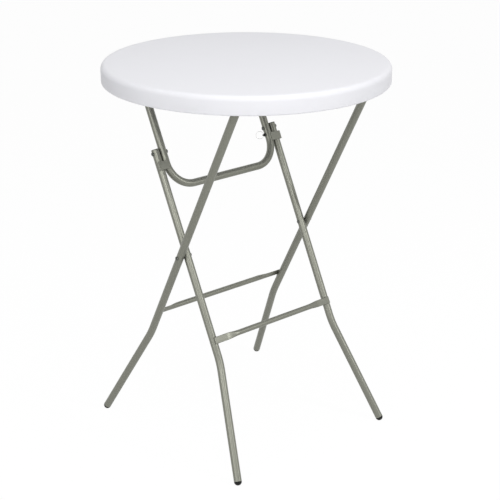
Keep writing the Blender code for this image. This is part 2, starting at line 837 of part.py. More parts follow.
def section(line, along, off, across, flatness, wall):
    """One ring of points of a crossbar, outer or, with a wall, inner."""
    half_height = CROSSBAR_RADIUS + (CROSSBAR_FLAT_HALF_HEIGHT - CROSSBAR_RADIUS) * flatness
    half_depth = CROSSBAR_RADIUS + (CROSSBAR_FLAT_HALF_THICKNESS - CROSSBAR_RADIUS) * flatness
    corner = half_depth - wall
    points = []
    for number in range(SECTION_POINTS):
        angle = math.tau * (number + 1 / 2) / SECTION_POINTS
        down = corner * math.cos(angle)
        down += math.copysign(half_height - half_depth, down)
        points.append(at(line, along + down, off + corner * math.sin(angle), across))
    return points


def crossbar(name, line, along, reach):
    """A loft by hand, since the section changes from round to flat."""
    flat_offset = TUBE_RADIUS + GAP + CROSSBAR_FLAT_HALF_THICKNESS
    stations = [(reach, 1), (reach - CROSSBAR_FLAT_LENGTH, 1)]
    for step in range(1, CROSSBAR_TAPER_STEPS + 1):
        share = step / CROSSBAR_TAPER_STEPS
        y = reach - CROSSBAR_FLAT_LENGTH - CROSSBAR_TAPER_LENGTH * share
        stations.append((y, 1 - smooth_share(share)))
    stations += [(-y, flatness) for y, flatness in reversed(stations)]
    work = bmesh.new()
    shells = []
    for wall in (0, CROSSBAR_WALL):
        rings = []
        for y, flatness in stations:
            off = CROSSBAR_OFFSET + (flat_offset - CROSSBAR_OFFSET) * flatness
            ring = section(line, along, off, y, flatness, wall)
            rings.append([work.verts.new(point) for point in ring])
        for ring, following in zip(rings, rings[1:]):
            for number in range(SECTION_POINTS):
                beside = (number + 1) % SECTION_POINTS
                work.faces.new(
                    (ring[number], ring[beside], following[beside], following[number])
                )
        shells.append(rings)
    for end in (0, -1):
        outside, inside = shells[0][end], shells[1][end]
        for number in range(SECTION_POINTS):
            beside = (number + 1) % SECTION_POINTS
            work.faces.new(
                (outside[number], outside[beside], inside[beside], inside[number])
            )
    bmesh.ops.recalc_face_normals(work, faces=work.faces)
    mesh = bpy.data.meshes.new(name)
    work.to_mesh(mesh)
    work.free()
    return linked(name, mesh)


finish(
    crossbar("outer_crossbar", OUTER, OUTER_CROSSBAR_ALONG, OUTER_CROSSBAR_REACH),
    POWDER_COAT,
    outer_axis,
)
finish(
    crossbar("inner_crossbar", INNER, INNER_CROSSBAR_ALONG, INNER_CROSSBAR_REACH),
    POWDER_COAT,
    inner_axis,
)


# Brace: one bent tube
brace_corners = [
    at(INNER, -PIVOT_OVERRUN, 0, -BRACE_HALF_WIDTH),
    at(INNER, BRACE_BAR_ALONG, 0, -BRACE_HALF_WIDTH),
    at(INNER, BRACE_BAR_ALONG, 0, BRACE_HALF_WIDTH),
    at(INNER, -PIVOT_OVERRUN, 0, BRACE_HALF_WIDTH),
]
brace_path = rounded_path(brace_corners, BRACE_BEND_RADIUS, BRACE_BEND_STEPS)
brace = hollow_tube("brace_tube", brace_path, TUBE_RADIUS, TUBE_WALL)
for side_name, side in SIDES.items():
    outside = side * (BRACE_OUTER_FACE + OVERLAP)
    inside = side * (BRACE_INNER_FACE - OVERLAP)
    name = f"brace_rod_hole_{side_name}"
    cut(brace, hole_across(name, INNER, 0, inside, outside, ROD_RADIUS))
    name = f"brace_bolt_hole_{side_name}"
    cut(brace, hole_across(name, INNER, BRACE_BOLT_ALONG, inside, outside, BOLT_RADIUS))
cut(
    brace,
    hole_across(
        "brace_barrel_hole",
        INNER,
        LOCK_ALONG,
        BRACE_INNER_FACE - OVERLAP,
        BRACE_HALF_WIDTH,
        BARREL_RADIUS,
    ),
)
cut(
    brace,
    hole_across(
        "brace_pin_hole",
        INNER,
        LOCK_ALONG,
        BRACE_HALF_WIDTH,
        BRACE_OUTER_FACE + OVERLAP,
        PIN_RADIUS,
    ),
)
finish(brace, POWDER_COAT, brace_axis)


# Saddles
def saddle(name, side, start):
    face = TUBE_RADIUS + GAP
    hook_inside = INNER_OUTER_FACE + SADDLE_HOOK_PLAY
    hook_outside = hook_inside + SADDLE_HOOK_THICKNESS
    plate_start = BRACE_HALF_WIDTH - SADDLE_LAP
    bend = rounded_path(
        [
            Vector((plate_start, face + SADDLE_THICKNESS, 0)),
            Vector((hook_outside, face + SADDLE_THICKNESS, 0)),
            Vector((hook_outside, SADDLE_HOOK_DEPTH, 0)),
        ],
        SADDLE_CORNER_RADIUS,
        SMALL_EDGE_STEPS,
    )
    outline = [(point.x, point.y) for point in bend]
    outline += [(hook_inside, SADDLE_HOOK_DEPTH), (hook_inside, face), (plate_start, face)]
    middle = at(INNER, start + SADDLE_LENGTH / 2, 0, 0)
    place = basis(middle, SIDEWAYS * side, INNER.face, INNER.down * side)
    return extruded(name, outline, SADDLE_LENGTH / 2, place)


for side_name, side in SIDES.items():
    plate = saddle(f"saddle_{side_name}", side, LOCK_ALONG + SADDLE_DROPS[side_name])
    finish(plate, POWDER_COAT, brace_axis, smooth=False)


# Brace bolts, nuts and spacers
def round_head(head_radius, height, edge_radius):
    """The profile of a low round head from its middle down to its underside."""
    profile = [(0, height)]
    profile += arc(
        (head_radius - edge_radius, height - edge_radius),
        edge_radius,
        1,
        0,
        SMALL_EDGE_STEPS,
    )
    return [*profile, (head_radius, 0)]


def turned_pair(name, look, profile, line, along, start, rides_on, outward=1):
    """Two turned pieces, mirrored left and right, that start at this |Y|."""
    for side_name, side in SIDES.items():
        base = at(line, along, 0, side * start)
        axis = SIDEWAYS * side * outward
        piece = turned(f"{name}_{side_name}", profile, base, axis, HOLE_SIDES)
        finish(piece, look, rides_on)


def nut(name, side, face_y):
    """A hexagon with a round bore."""
    start = at(INNER, BRACE_BOLT_ALONG, 0, side * face_y)
    end = at(INNER, BRACE_BOLT_ALONG, 0, side * (face_y - NUT_HEIGHT))
    body = rod(name, start, end, NUT_RADIUS, NUT_SIDES)
    beyond = SIDEWAYS * side * OVERLAP
    radius = BOLT_RADIUS + HOLE_PLAY
    cut(body, rod(f"{name}_bore", start + beyond, end - beyond, radius, HOLE_SIDES))
    return body


bolt_start = INNER_OUTER_FACE + GAP
nut_start = BRACE_INNER_FACE - GAP
bolt_length = bolt_start - nut_start + NUT_HEIGHT
bolt_profile = round_head(BOLT_HEAD_RADIUS, BOLT_HEAD_HEIGHT, BOLT_HEAD_ROUND)
bolt_profile += [(BOLT_RADIUS, 0), (BOLT_RADIUS, -bolt_length), (0, -bolt_length)]
turned_pair(
    "brace_bolt", BRIGHT_STEEL, bolt_profile, INNER, BRACE_BOLT_ALONG, bolt_start, brace_axis
)
for side_name, side in SIDES.items():
    hexagon = nut(f"brace_nut_{side_name}", side, nut_start)
    finish(hexagon, BRIGHT_STEEL, brace_axis, smooth=False)
spacer_start = BRACE_OUTER_FACE + GAP
spacer_height = INNER_INNER_FACE - GAP - spacer_start
spacer_profile = ring_profile(SPACER_RADIUS, BOLT_RADIUS + HOLE_PLAY, 0, spacer_height)
turned_pair(
    "brace_spacer",
    DARK_STEEL,
    spacer_profile,
    INNER,
    BRACE_BOLT_ALONG,
    spacer_start,
    brace_axis,
)

# Crossing screws, their spacers and the sleeve nuts
crossing_start = OUTER_OUTER_FACE + GAP
crossing_end = INNER_OUTER_FACE + GAP
crossing_length = crossing_start - crossing_end
crossing_profile = round_head(CROSSING_HEAD_RADIUS, CROSSING_HEAD_HEIGHT, BOLT_HEAD_ROUND)
crossing_profile += [
    (CROSSING_SCREW_RADIUS, 0),
    (CROSSING_SCREW_RADIUS, -crossing_length),
    (0, -crossing_length),
]
turned_pair(
    "crossing_screw",
    BRIGHT_STEEL,
    crossing_profile,
    OUTER,
    OUTER_CROSSING,
    crossing_start,
    outer_axis,
)
washer_bore = CROSSING_SCREW_RADIUS + HOLE_PLAY
washer_height = OUTER_INNER_FACE - GAP - crossing_end
washer_profile = ring_profile(CROSSING_SPACER_RADIUS, washer_bore, 0, washer_height)
turned_pair(
    "crossing_spacer",
    DARK_STEEL,
    washer_profile,
    OUTER,
    OUTER_CROSSING,
    crossing_end,
    outer_axis,
)
sleeve_start = INNER_INNER_FACE - GAP
sleeve_length = INNER_OUTER_FACE - sleeve_start
sleeve_profile = round_head(SLEEVE_HEAD_RADIUS, SLEEVE_HEAD_HEIGHT, BOLT_HEAD_ROUND)
sleeve_profile += [
    (SLEEVE_RADIUS, 0),
    (SLEEVE_RADIUS, -sleeve_length),
    (SLEEVE_BORE_RADIUS, -sleeve_length),
    (SLEEVE_BORE_RADIUS, 0),
    (0, 0),
]
turned_pair(
    "sleeve_nut",
    BRIGHT_STEEL,
    sleeve_profile,
    INNER,
    INNER_CROSSING,
    sleeve_start,
    inner_axis,
    -1,
)

# Feet, cut flat where they stand, and the plugs in the inner legs' upper ends
floor_cutter = box(
    "floor_cutter",
    (-TABLE_HEIGHT, -TABLE_HEIGHT, -RIM_DEPTH),
    (TABLE_HEIGHT, TABLE_HEIGHT, 0),
)
foot_profile = [(0, FOOT_STEM_LENGTH), (FOOT_STEM_RADIUS, FOOT_STEM_LENGTH)]
foot_profile += [(FOOT_STEM_RADIUS, -GAP)]
foot_profile += arc((0, -GAP), FOOT_RADIUS, 0, -1, EDGE_STEPS)
FRAMES = {
    "outer": (OUTER, -PIVOT_OVERRUN, OUTER_HALF_WIDTH, outer_axis),
    "inner": (INNER, INNER_TOP, INNER_HALF_WIDTH, inner_axis),
}
for frame_name, (line, top_along, half_width, frame_axis) in FRAMES.items():
    for side_name, side in SIDES.items():
        corners, splay = leg_course(line, top_along, half_width, side)
        foot = turned(
            f"{frame_name}_foot_{side_name}",
            foot_profile,
            corners[-1],
            -splay,
            TURNED_STEPS,
        )
        cut(foot, floor_cutter)
        finish(foot, BLACK_RUBBER, frame_axis)

plug_profile = [
    (0, PLUG_FLANGE_THICKNESS + GAP),
    (TUBE_RADIUS - PLUG_FLANGE_THICKNESS / 2, PLUG_FLANGE_THICKNESS + GAP),
    (TUBE_RADIUS, PLUG_FLANGE_THICKNESS / 2 + GAP),
    (TUBE_RADIUS, GAP),
    (FOOT_STEM_RADIUS, GAP),
    (FOOT_STEM_RADIUS, -PLUG_STEM_LENGTH),
    (0, -PLUG_STEM_LENGTH),
]
for side_name, side in SIDES.items():
    plug = turned(
        f"inner_top_plug_{side_name}",
        plug_profile,
        at(INNER, INNER_TOP, 0, side * INNER_HALF_WIDTH),
        -INNER.down,
        TURNED_STEPS,
    )
    finish(plug, BLACK_RUBBER, inner_axis)

# Lock: a barrel in the right arm, a sprung pull pin and its ring
barrel_end = BRACE_INNER_FACE - BARREL_PROUD
barrel_length = BRACE_OUTER_FACE - TUBE_WALL - BARREL_INNER_GAP - barrel_end
barrel_profile = ring_profile(BARREL_RADIUS, PIN_RADIUS + HOLE_PLAY, 0, barrel_length)
barrel = turned(
    "lock_barrel",
    barrel_profile,
    at(INNER, LOCK_ALONG, 0, barrel_end),
    SIDEWAYS,
    TURNED_STEPS,
)
finish(barrel, DARK_STEEL, brace_axis)
tip_y = INNER_INNER_FACE - GAP
pin_length = tip_y - PIN_HEAD_START
pin_profile = [
    (0, pin_length),
    (PIN_TIP_RADIUS, pin_length),
    (PIN_RADIUS, pin_length - PIN_TIP_TAPER),
    (PIN_RADIUS, 0),
    (PIN_HEAD_RADIUS, 0),
    (PIN_HEAD_RADIUS, -PIN_HEAD_LENGTH),
    (0, -PIN_HEAD_LENGTH),
]
pin = turned(
    "lock_pin", pin_profile, at(INNER, LOCK_ALONG, 0, PIN_HEAD_START), SIDEWAYS, HOLE_SIDES
)
eye = rod(
    "lock_pin_eye",
    PIN_EYE - UP * BARREL_RADIUS,
    PIN_EYE + UP * BARREL_RADIUS,
    PIN_EYE_RADIUS,
    HOLE_SIDES,
)
cut(pin, eye)
finish(pin, DARK_STEEL, pin_axis)
hang = Vector((-math.sin(RING_TURN), -math.cos(RING_TURN), 0))
ring_centre = PIN_EYE + hang * RING_RADIUS
ring_points = []
for step in range(RING_STEPS):
    angle = math.tau * step / RING_STEPS
    spoke = UP * math.sin(angle) - hang * math.cos(angle)
    ring_points.append(ring_centre + spoke * RING_RADIUS)
ring = baked(
    curve_object("lock_ring", ring_points, RING_WIRE_RADIUS, RING_RESOLUTION, cyclic=True)
)
finish(ring, PALE_WIRE, ring_axis)
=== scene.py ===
# %% [markdown]
# A folding high table, dressed for its portrait.
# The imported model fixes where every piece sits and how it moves. This script keeps that
# frame untouched and builds the finer, better finished pieces that the camera sees.
# Everything is in metres: X runs across the scissor, Y along the pivot rods, Z is up,
# and "left" is the -Y side, the near one in the main view.

import json
import math

import bmesh
import bpy
from mathutils import Matrix, Vector

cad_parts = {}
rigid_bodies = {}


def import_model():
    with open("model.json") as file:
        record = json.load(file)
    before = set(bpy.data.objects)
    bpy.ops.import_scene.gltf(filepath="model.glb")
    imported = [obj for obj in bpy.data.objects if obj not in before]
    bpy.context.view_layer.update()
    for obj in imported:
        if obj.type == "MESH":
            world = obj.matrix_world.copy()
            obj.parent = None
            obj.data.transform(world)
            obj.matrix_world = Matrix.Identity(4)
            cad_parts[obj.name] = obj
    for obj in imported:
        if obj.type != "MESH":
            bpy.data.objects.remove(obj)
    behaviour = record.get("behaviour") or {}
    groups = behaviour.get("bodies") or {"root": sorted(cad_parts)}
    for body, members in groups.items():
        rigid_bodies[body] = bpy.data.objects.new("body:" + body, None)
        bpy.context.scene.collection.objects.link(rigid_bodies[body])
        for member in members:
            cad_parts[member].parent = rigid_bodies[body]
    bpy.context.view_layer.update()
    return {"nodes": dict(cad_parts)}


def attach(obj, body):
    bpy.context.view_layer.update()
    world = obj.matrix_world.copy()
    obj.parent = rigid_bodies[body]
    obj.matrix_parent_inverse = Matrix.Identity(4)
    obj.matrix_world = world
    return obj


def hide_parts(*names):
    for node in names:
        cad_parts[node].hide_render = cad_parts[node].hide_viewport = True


for leftover in list(bpy.data.objects):
    bpy.data.objects.remove(leftover)
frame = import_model()

# %% [markdown]
# The camera comes first, because the background and the lamps are set up round it.
# It stands to the right of the table's front, a little above the top, with a long lens,
# which keeps the four legs nearly parallel in the picture.

# %% Camera
SENSOR_WIDTH_MM, LENS_MM, FAR_CLIP = 36, 87.965, 60
CAMERA_PLACE = (2.5266, -2.1541, 1.8480)
HEADING, TILT, ROLL = (math.radians(angle) for angle in (49.361, 68.482, 0.118))
eye = bpy.data.cameras.new("portrait_camera")
eye.sensor_width = SENSOR_WIDTH_MM
eye.lens = LENS_MM
eye.clip_end = FAR_CLIP
camera = bpy.data.objects.new("portrait_camera", eye)
bpy.context.scene.collection.objects.link(camera)
camera.matrix_world = (Matrix.Translation(CAMERA_PLACE) @ Matrix.Rotation(HEADING, 4, "Z")
                       @ Matrix.Rotation(TILT, 4, "X") @ Matrix.Rotation(ROLL, 4, "Z"))
bpy.context.scene.camera = camera
print("camera lens", eye.lens, "mm")

# %% [markdown]
# Three helpers serve every node tree below, for shaders and for geometry. The first adds
# a node, sets its options, and fills each named input with a plain value or a link. A
# node given as a value stands for its first output. The second helper does the same for
# a sum, and the third starts a group of nodes that has named inputs and outputs.

# %% Node helpers
def add(tree, kind, inputs=None, **options):
    made = tree.nodes.new(kind)
    for name, value in options.items():
        setattr(made, name, value)
    for key, value in (inputs or {}).items():
        value = value.outputs[0] if isinstance(value, bpy.types.Node) else value
        if isinstance(value, bpy.types.NodeSocket):
            tree.links.new(value, made.inputs[key])
        else:
            made.inputs[key].default_value = value
    return made


def maths(tree, operation, *values, **options):
    made = add(tree, "ShaderNodeMath", dict(enumerate(values)), operation=operation, **options)
    return made.outputs[0]


def start_group(name, kind, inputs, outputs):
    tree = bpy.data.node_groups.new(name, kind)
    for way, rows in (("INPUT", inputs), ("OUTPUT", outputs)):
        for title, socket, *default in rows:
            made = tree.interface.new_socket(title, in_out=way, socket_type=socket)
            if default:
                made.default_value = default[0]
    return tree, add(tree, "NodeGroupInput").outputs


VECTOR, COLOUR, FLOAT, INT = (f"NodeSocket{kind}" for kind in ("Vector", "Color", "Float", "Int"))
print("node helpers", [helper.__name__ for helper in (add, maths, start_group)])

# %% [markdown]
# The studio is a white floor in a white world. The world gives the even light of a light
# tent. Camera, mirror and glass rays see plain white instead, so the background stays
# white without any extra light on the table. The floor does the same, but keeps a small
# share of its real shading for the soft shadow. From below it is clear, so that the
# underside of the table shows.

# %% World and floor
WHITE, TENT_TINT, PAPER = (1, 1, 1, 1), (0.98, 0.985, 1.0, 1), (0.86, 0.86, 0.86, 1)
TENT_LIGHT, BACKDROP_LIGHT = 0.26, 1.0
PAPER_GLOW, PAPER_GLOW_SHARE = 1.02, 0.95
FLOOR_HALF_WIDTH, FLOOR_DROP = 9, 0.0002


def seen_rays(tree):
    """One for camera, mirror and glass rays, zero for the rays that light the table."""
    rays = add(tree, "ShaderNodeLightPath").outputs
    seen = maths(tree, "MAXIMUM", rays["Is Camera Ray"], rays["Is Glossy Ray"])
    return maths(tree, "MAXIMUM", seen, rays["Is Transmission Ray"])


def blank_tree(owner):
    owner.use_nodes = True
    owner.node_tree.nodes.clear()
    return owner.node_tree


def mixed(tree, share, first, second):
    return add(tree, "ShaderNodeMixShader", {"Fac": share, 1: first, 2: second})


def piece_of(name, mesh):
    made = bpy.data.objects.new(name, mesh)
    bpy.context.scene.collection.objects.link(made)
    return made


def piece_from(work, name):
    """Keep a mesh under construction as a piece of its own."""
    mesh = bpy.data.meshes.new(name)
    work.to_mesh(mesh)
    work.free()
    return piece_of(name, mesh)


world = bpy.data.worlds.new("light_tent")
bpy.context.scene.world = world
tent = blank_tree(world)
ambient = add(tent, "ShaderNodeBackground", {"Color": TENT_TINT, "Strength": TENT_LIGHT})
backdrop = add(tent, "ShaderNodeBackground", {"Color": WHITE, "Strength": BACKDROP_LIGHT})
either = mixed(tent, seen_rays(tent), ambient, backdrop)
add(tent, "ShaderNodeOutputWorld", {"Surface": either})

paper = bpy.data.materials.new("white_paper_floor")
sweep = blank_tree(paper)
share = maths(sweep, "MULTIPLY", seen_rays(sweep), PAPER_GLOW_SHARE)
matt = add(sweep, "ShaderNodeBsdfDiffuse", {"Color": PAPER})
glow = add(sweep, "ShaderNodeEmission", {"Color": WHITE, "Strength": PAPER_GLOW})
clear = add(sweep, "ShaderNodeBsdfTransparent", {"Color": WHITE})
facing = add(sweep, "ShaderNodeNewGeometry")
sided = mixed(sweep, facing.outputs["Backfacing"], mixed(sweep, share, matt, glow), clear)
add(sweep, "ShaderNodeOutputMaterial", {"Surface": sided})

work = bmesh.new()
bmesh.ops.create_grid(work, x_segments=2, y_segments=2, size=FLOOR_HALF_WIDTH)
floor = piece_from(work, "studio_floor")
floor.data.materials.append(paper)
floor.location.z = -FLOOR_DROP
print("floor", [round(v, 2) for v in floor.dimensions])

# %% [markdown]
# Four soft lamps model the form, all aimed at the middle of the table. The wide one above
# lights the tabletop. The ones on the left and beside the camera fill the rim and the
# near tubes, and the narrow one on the right draws the bright streaks down the tubes.

# %% Lamps
def aimed(place, direction, forward="Z"):
    """The placement of a thing at a place, with one of its axes in a direction."""
    return Matrix.Translation(place) @ direction.to_track_quat(forward, "Y").to_matrix().to_4x4()


MIDDLE = Vector((0, 0, 0.6))
for name, place, width, height, power in (
        ("top_softbox", (0.3, -0.2, 3.2), 2.4, 2.4, 30),
        ("left_softbox", (0.9, -3.4, 1.6), 1.2, 2.2, 28),
        ("right_softbox", (2.9, 1.1, 2.0), 0.5, 2.0, 31),
        ("camera_softbox", (2.7, -1.9, 2.7), 1.6, 1.3, 40)):
    lamp = bpy.data.lights.new(name, "AREA")
    lamp.shape = "RECTANGLE"
    lamp.size, lamp.size_y, lamp.energy = width, height, power
    holder = piece_of(name, lamp)
    holder.matrix_world = aimed(place, MIDDLE - Vector(place), "-Z")
    holder.visible_camera = False

# %% [markdown]
# No real surface is one flat colour. Three small shader groups hold the effects that
# several finishes share, each with its own scale and amount:
# mottle shifts a colour and a roughness slightly over the surface,
# orange_peel is the shallow dimpled skin of baked powder paint and of moulded plastic,
# and fine_marks are the short faint scratches of handling or of drawn wire.

# %% Shared shader effects
def noise(tree, place, scale, detail=2.0, roughness=0.5):
    return add(tree, "ShaderNodeTexNoise",
               {"Vector": place, "Scale": scale, "Detail": detail, "Roughness": roughness})


def make_mottle():
    tree, given = start_group(
        "mottle", "ShaderNodeTree",
        [("Vector", VECTOR), ("Color", COLOUR, WHITE), ("Scale", FLOAT, 20.0),
         ("Colour Shift", FLOAT, 0.05), ("Roughness", FLOAT, 0.5), ("Roughness Shift", FLOAT, 0.1)],
        [("Color", COLOUR), ("Roughness", FLOAT)])
    broad = noise(tree, given["Vector"], given["Scale"], 4.0, 0.6)
    centred = maths(tree, "SUBTRACT", broad.outputs["Fac"], 0.5)
    gain = maths(tree, "MULTIPLY_ADD", centred, given["Colour Shift"], 1.0)
    tinted = add(tree, "ShaderNodeVectorMath", {0: given["Color"], "Scale": gain},
                 operation="SCALE")
    rough = maths(tree, "MULTIPLY_ADD", centred, given["Roughness Shift"], given["Roughness"],
                  use_clamp=True)
    add(tree, "NodeGroupOutput", {"Color": tinted, "Roughness": rough})
    return tree


def make_orange_peel():
    tree, given = start_group("orange_peel", "ShaderNodeTree",
                              [("Vector", VECTOR), ("Scale", FLOAT, 400.0)], [("Height", FLOAT)])
    cells = add(tree, "ShaderNodeTexVoronoi",
                {"Vector": given["Vector"], "Scale": given["Scale"]}, feature="SMOOTH_F1")
    blur = noise(tree, given["Vector"], given["Scale"], 1.0)
    height = maths(tree, "MULTIPLY_ADD", cells.outputs["Distance"], 0.6, blur.outputs["Fac"])
    add(tree, "NodeGroupOutput", {"Height": height})
    return tree


def make_fine_marks():
    tree, given = start_group(
        "fine_marks", "ShaderNodeTree",
        [("Vector", VECTOR), ("Scale", FLOAT, 60.0), ("Stretch", VECTOR, (1, 1, 12)),
         ("Coverage", FLOAT, 0.5)], [("Mask", FLOAT)])
    drawn = add(tree, "ShaderNodeVectorMath", {0: given["Vector"], 1: given["Stretch"]},
                operation="MULTIPLY")
    lines = noise(tree, drawn, given["Scale"], 3.0, 0.7)
    kept = add(tree, "ShaderNodeMapRange",
               {"Value": lines.outputs["Fac"], "From Min": 0.45, "From Max": 0.75,
                "To Max": given["Coverage"]})
    add(tree, "NodeGroupOutput", {"Mask": kept})
    return tree


MOTTLE, ORANGE_PEEL, FINE_MARKS = make_mottle(), make_orange_peel(), make_fine_marks()
print("shader groups", [g.name for g in (MOTTLE, ORANGE_PEEL, FINE_MARKS)])

# %% [markdown]
# Each finish is a Principled shader fed by those groups. The values that are the same all
# over, such as how metallic a finish is, are set on the shader itself.
# Object coordinates are used throughout: every piece keeps its place in its own mesh,
# so a pattern never slides, and one finish runs on unbroken from piece to piece.

# %% Finish helper
def finish_of(name, colour, roughness, metallic=0.0, mottle=(20.0, 0.05, 0.08),
              peel=(400.0, 0.05, 0.0001), marks=None, specular=0.5):
    made = bpy.data.materials.new(name)
    tree = blank_tree(made)
    place = add(tree, "ShaderNodeTexCoord").outputs["Object"]
    broad = add(tree, "ShaderNodeGroup",
                {"Vector": place, "Color": (*colour, 1), "Scale": mottle[0],
                 "Colour Shift": mottle[1], "Roughness": roughness,
                 "Roughness Shift": mottle[2]}, node_tree=MOTTLE).outputs
    skin = add(tree, "ShaderNodeGroup", {"Vector": place, "Scale": peel[0]},
               node_tree=ORANGE_PEEL)
    bump = add(tree, "ShaderNodeBump",
               {"Height": skin, "Strength": peel[1], "Distance": peel[2]})
    rough = broad["Roughness"]
    if marks:
        lines = add(tree, "ShaderNodeGroup",
                    {"Vector": place, "Scale": marks[0], "Stretch": marks[1],
                     "Coverage": marks[2]}, node_tree=FINE_MARKS)
        rough = maths(tree, "ADD", rough, lines.outputs["Mask"], use_clamp=True)
    shader = add(tree, "ShaderNodeBsdfPrincipled",
                 {"Base Color": broad["Color"], "Metallic": metallic, "Roughness": rough,
                  "Specular IOR Level": specular, "Normal": bump})
    add(tree, "ShaderNodeOutputMaterial", {"Surface": shader})
    return made


print("finish helper", finish_of.__name__)

# %% [markdown]
# The table has six looks, and two of them come in a second shade. The top is satin white
# plastic with a very fine grain. The frames wear a smooth grey powder coat, a little
# duller over the welds. Rods and bracket screws are bright zinc. The bolt heads, screw
# heads and nuts get a much darker copy of the same zinc: that darkness is painted shade.
# The lock and brackets are dark plated steel. Feet and plugs are black plastic, and the
# finger ring is pale wire.

# %% Finishes
TABLE_PLASTIC = finish_of(
    "white_moulded_plastic", (0.80, 0.80, 0.83), 0.42, mottle=(6.0, 0.02, 0.06),
    peel=(900.0, 0.12, 0.0003), marks=(9.0, (1.0, 5.0, 1.0), 0.04), specular=0.15)
POWDER_COAT = finish_of(
    "grey_powder_coat", (0.222, 0.225, 0.19), 0.34, metallic=0.55, mottle=(14.0, 0.05, 0.06),
    peel=(700.0, 0.02, 0.0001), specular=0.25)
BRIGHT_STEEL = finish_of(
    "zinc_plated_steel", (0.62, 0.62, 0.60), 0.30, metallic=1.0, mottle=(120.0, 0.15, 0.12),
    peel=(1500.0, 0.1, 0.0001), marks=(300.0, (1.0, 6.0, 1.0), 0.15))
# Painted shade: the bright zinc made much darker for the small heads and nuts.
ZINC_PAINTED_SHADE = finish_of(
    "zinc_painted_shade", (0.11, 0.115, 0.105), 0.34, metallic=0.9, mottle=(150.0, 0.2, 0.12),
    peel=(1500.0, 0.1, 0.0001))
DARK_STEEL = finish_of(
    "dark_plated_steel", (0.07, 0.07, 0.065), 0.38, metallic=0.85, mottle=(90.0, 0.2, 0.12),
    peel=(1200.0, 0.15, 0.0002))
BLACK_PLASTIC = finish_of(
    "black_foot_plastic", (0.012, 0.012, 0.011), 0.5, mottle=(60.0, 0.3, 0.1),
    peel=(1100.0, 0.25, 0.0003), specular=0.15)
RING_WIRE = finish_of(
    "pale_spring_wire", (0.66, 0.66, 0.65), 0.28, metallic=1.0, mottle=(200.0, 0.1, 0.1),
    peel=(2000.0, 0.05, 0.0001))
WELD_COAT = finish_of(
    "painted_weld", (0.23, 0.23, 0.195), 0.44, mottle=(80.0, 0.10, 0.1),
    peel=(900.0, 0.25, 0.0003))
print("finishes", [m.name for m in bpy.data.materials if m.use_nodes])

# %% [markdown]
# The sizes below are the ones the solids were built from. A frame is drawn in the side
# view as a line from its pivot under the top to the floor. A point on it is given by how
# far down the line it lies, how far off its face, and where across the table.

# %% Sizes shared by many pieces
GAP = 0.0003
TABLE_RADIUS, TABLE_HEIGHT, RIM_DEPTH, RIM_WIDTH = 0.400, 1.100, 0.050, 0.025
PANEL_DEPTH, PIVOT_HEIGHT = 0.017, 1.066
PANEL_BOTTOM, RIM_BOTTOM = TABLE_HEIGHT - PANEL_DEPTH, TABLE_HEIGHT - RIM_DEPTH
TUBE_RADIUS, TUBE_WALL, PIVOT_OVERRUN = 0.011, 0.0012, 0.0088
OUTER_HALF, INNER_HALF, BRACE_HALF = 0.242, 0.217, 0.193
OUTER_PIVOT_X, BRACE_PIVOT_X = 0.255053, -0.247448
OUTER_FOOT_X, INNER_FOOT_X = -0.3091, 0.3001
OUTER_FOOT_KICK, INNER_FOOT_KICK = 0.0063, 0.008
FLARE_LENGTH, FLARE_WIDTH, FLARE_BEND_RADIUS = 0.332, 0.0663, 0.250
BOLT_ALONG, LOCK_ALONG = 0.249, 0.269
TURNED_STEPS, SMALL_TURNED_STEPS = 48, 40
CREASE, FINE_CREASE, ALL_SMOOTH = 40, 35, 180
SIDES = {"left": -1, "right": 1}
SIDEWAYS, UP = Vector((0, 1, 0)), Vector((0, 0, 1))


class FrameLine:
    """The centre line of a frame in the side view."""

    def __init__(self, top_x, foot_x, kick, facing):
        self.top = Vector((top_x, 0, PIVOT_HEIGHT))
        self.kick = Vector((math.copysign(kick, foot_x), 0, 0))
        run = Vector((foot_x, 0, 0)) - self.kick - self.top
        self.length = run.length
        self.down = run.normalized()
        self.face = SIDEWAYS.cross(self.down) * facing

    def at(self, down, off, across):
        point = self.top + self.down * down + self.face * off
        return Vector((point.x, across, point.z))


def crossing_alongs(first, second):
    """How far down each line the two lines cross."""
    def turn(one, other):
        return one.x * other.z - one.z * other.x

    gap, whole = second.top - first.top, turn(first.down, second.down)
    return turn(gap, second.down) / whole, turn(gap, first.down) / whole


INNER = FrameLine(BRACE_PIVOT_X, INNER_FOOT_X, INNER_FOOT_KICK, -1)
OUTER = FrameLine(OUTER_PIVOT_X, OUTER_FOOT_X, OUTER_FOOT_KICK, 1)
INNER_CROSSING, OUTER_CROSSING = crossing_alongs(INNER, OUTER)
print("inner line", round(INNER.length, 4), "outer line", round(OUTER.length, 4))

# %% [markdown]
# A geometry tree does nothing until an object carries it. Two helpers start and end every
# tree in the same way: copies are made real and given their material. The rest hang a
# tree on a carrier, set its named inputs by their identifiers, keep the evaluated result
# as a plain mesh, and throw the carrier away. Smoothing is by angle, so that turned edges
# stay crisp and round walls stay round.

# %% Grow a mesh from a geometry tree
def start_tree(name, source, *inputs):
    tree, given = start_group(
        name, "GeometryNodeTree",
        [(source, "NodeSocketGeometry"), *inputs, ("Material", "NodeSocketMaterial")],
        [("Geometry", "NodeSocketGeometry")])
    tree.is_modifier = True
    return tree, given


def end_tree(tree, given, geometry):
    real = add(tree, "GeometryNodeRealizeInstances", {"Geometry": geometry})
    painted = add(tree, "GeometryNodeSetMaterial",
                  {"Geometry": real, "Material": given["Material"]})
    add(tree, "NodeGroupOutput", {"Geometry": painted})
    return tree


def smooth(piece, sharp):
    piece.data.shade_smooth()
    piece.data.set_sharp_from_angle(angle=math.radians(sharp))
    return piece


def evaluated_mesh(piece):
    bpy.context.view_layer.update()
    graph = bpy.context.evaluated_depsgraph_get()
    return bpy.data.meshes.new_from_object(piece.evaluated_get(graph))


def settle(piece, sharp=CREASE):
    """Apply a piece's modifiers, so that its place and shape are all in its mesh."""
    mesh = evaluated_mesh(piece)
    piece.modifiers.clear()
    piece.data = mesh
    return smooth(piece, sharp) if sharp else piece


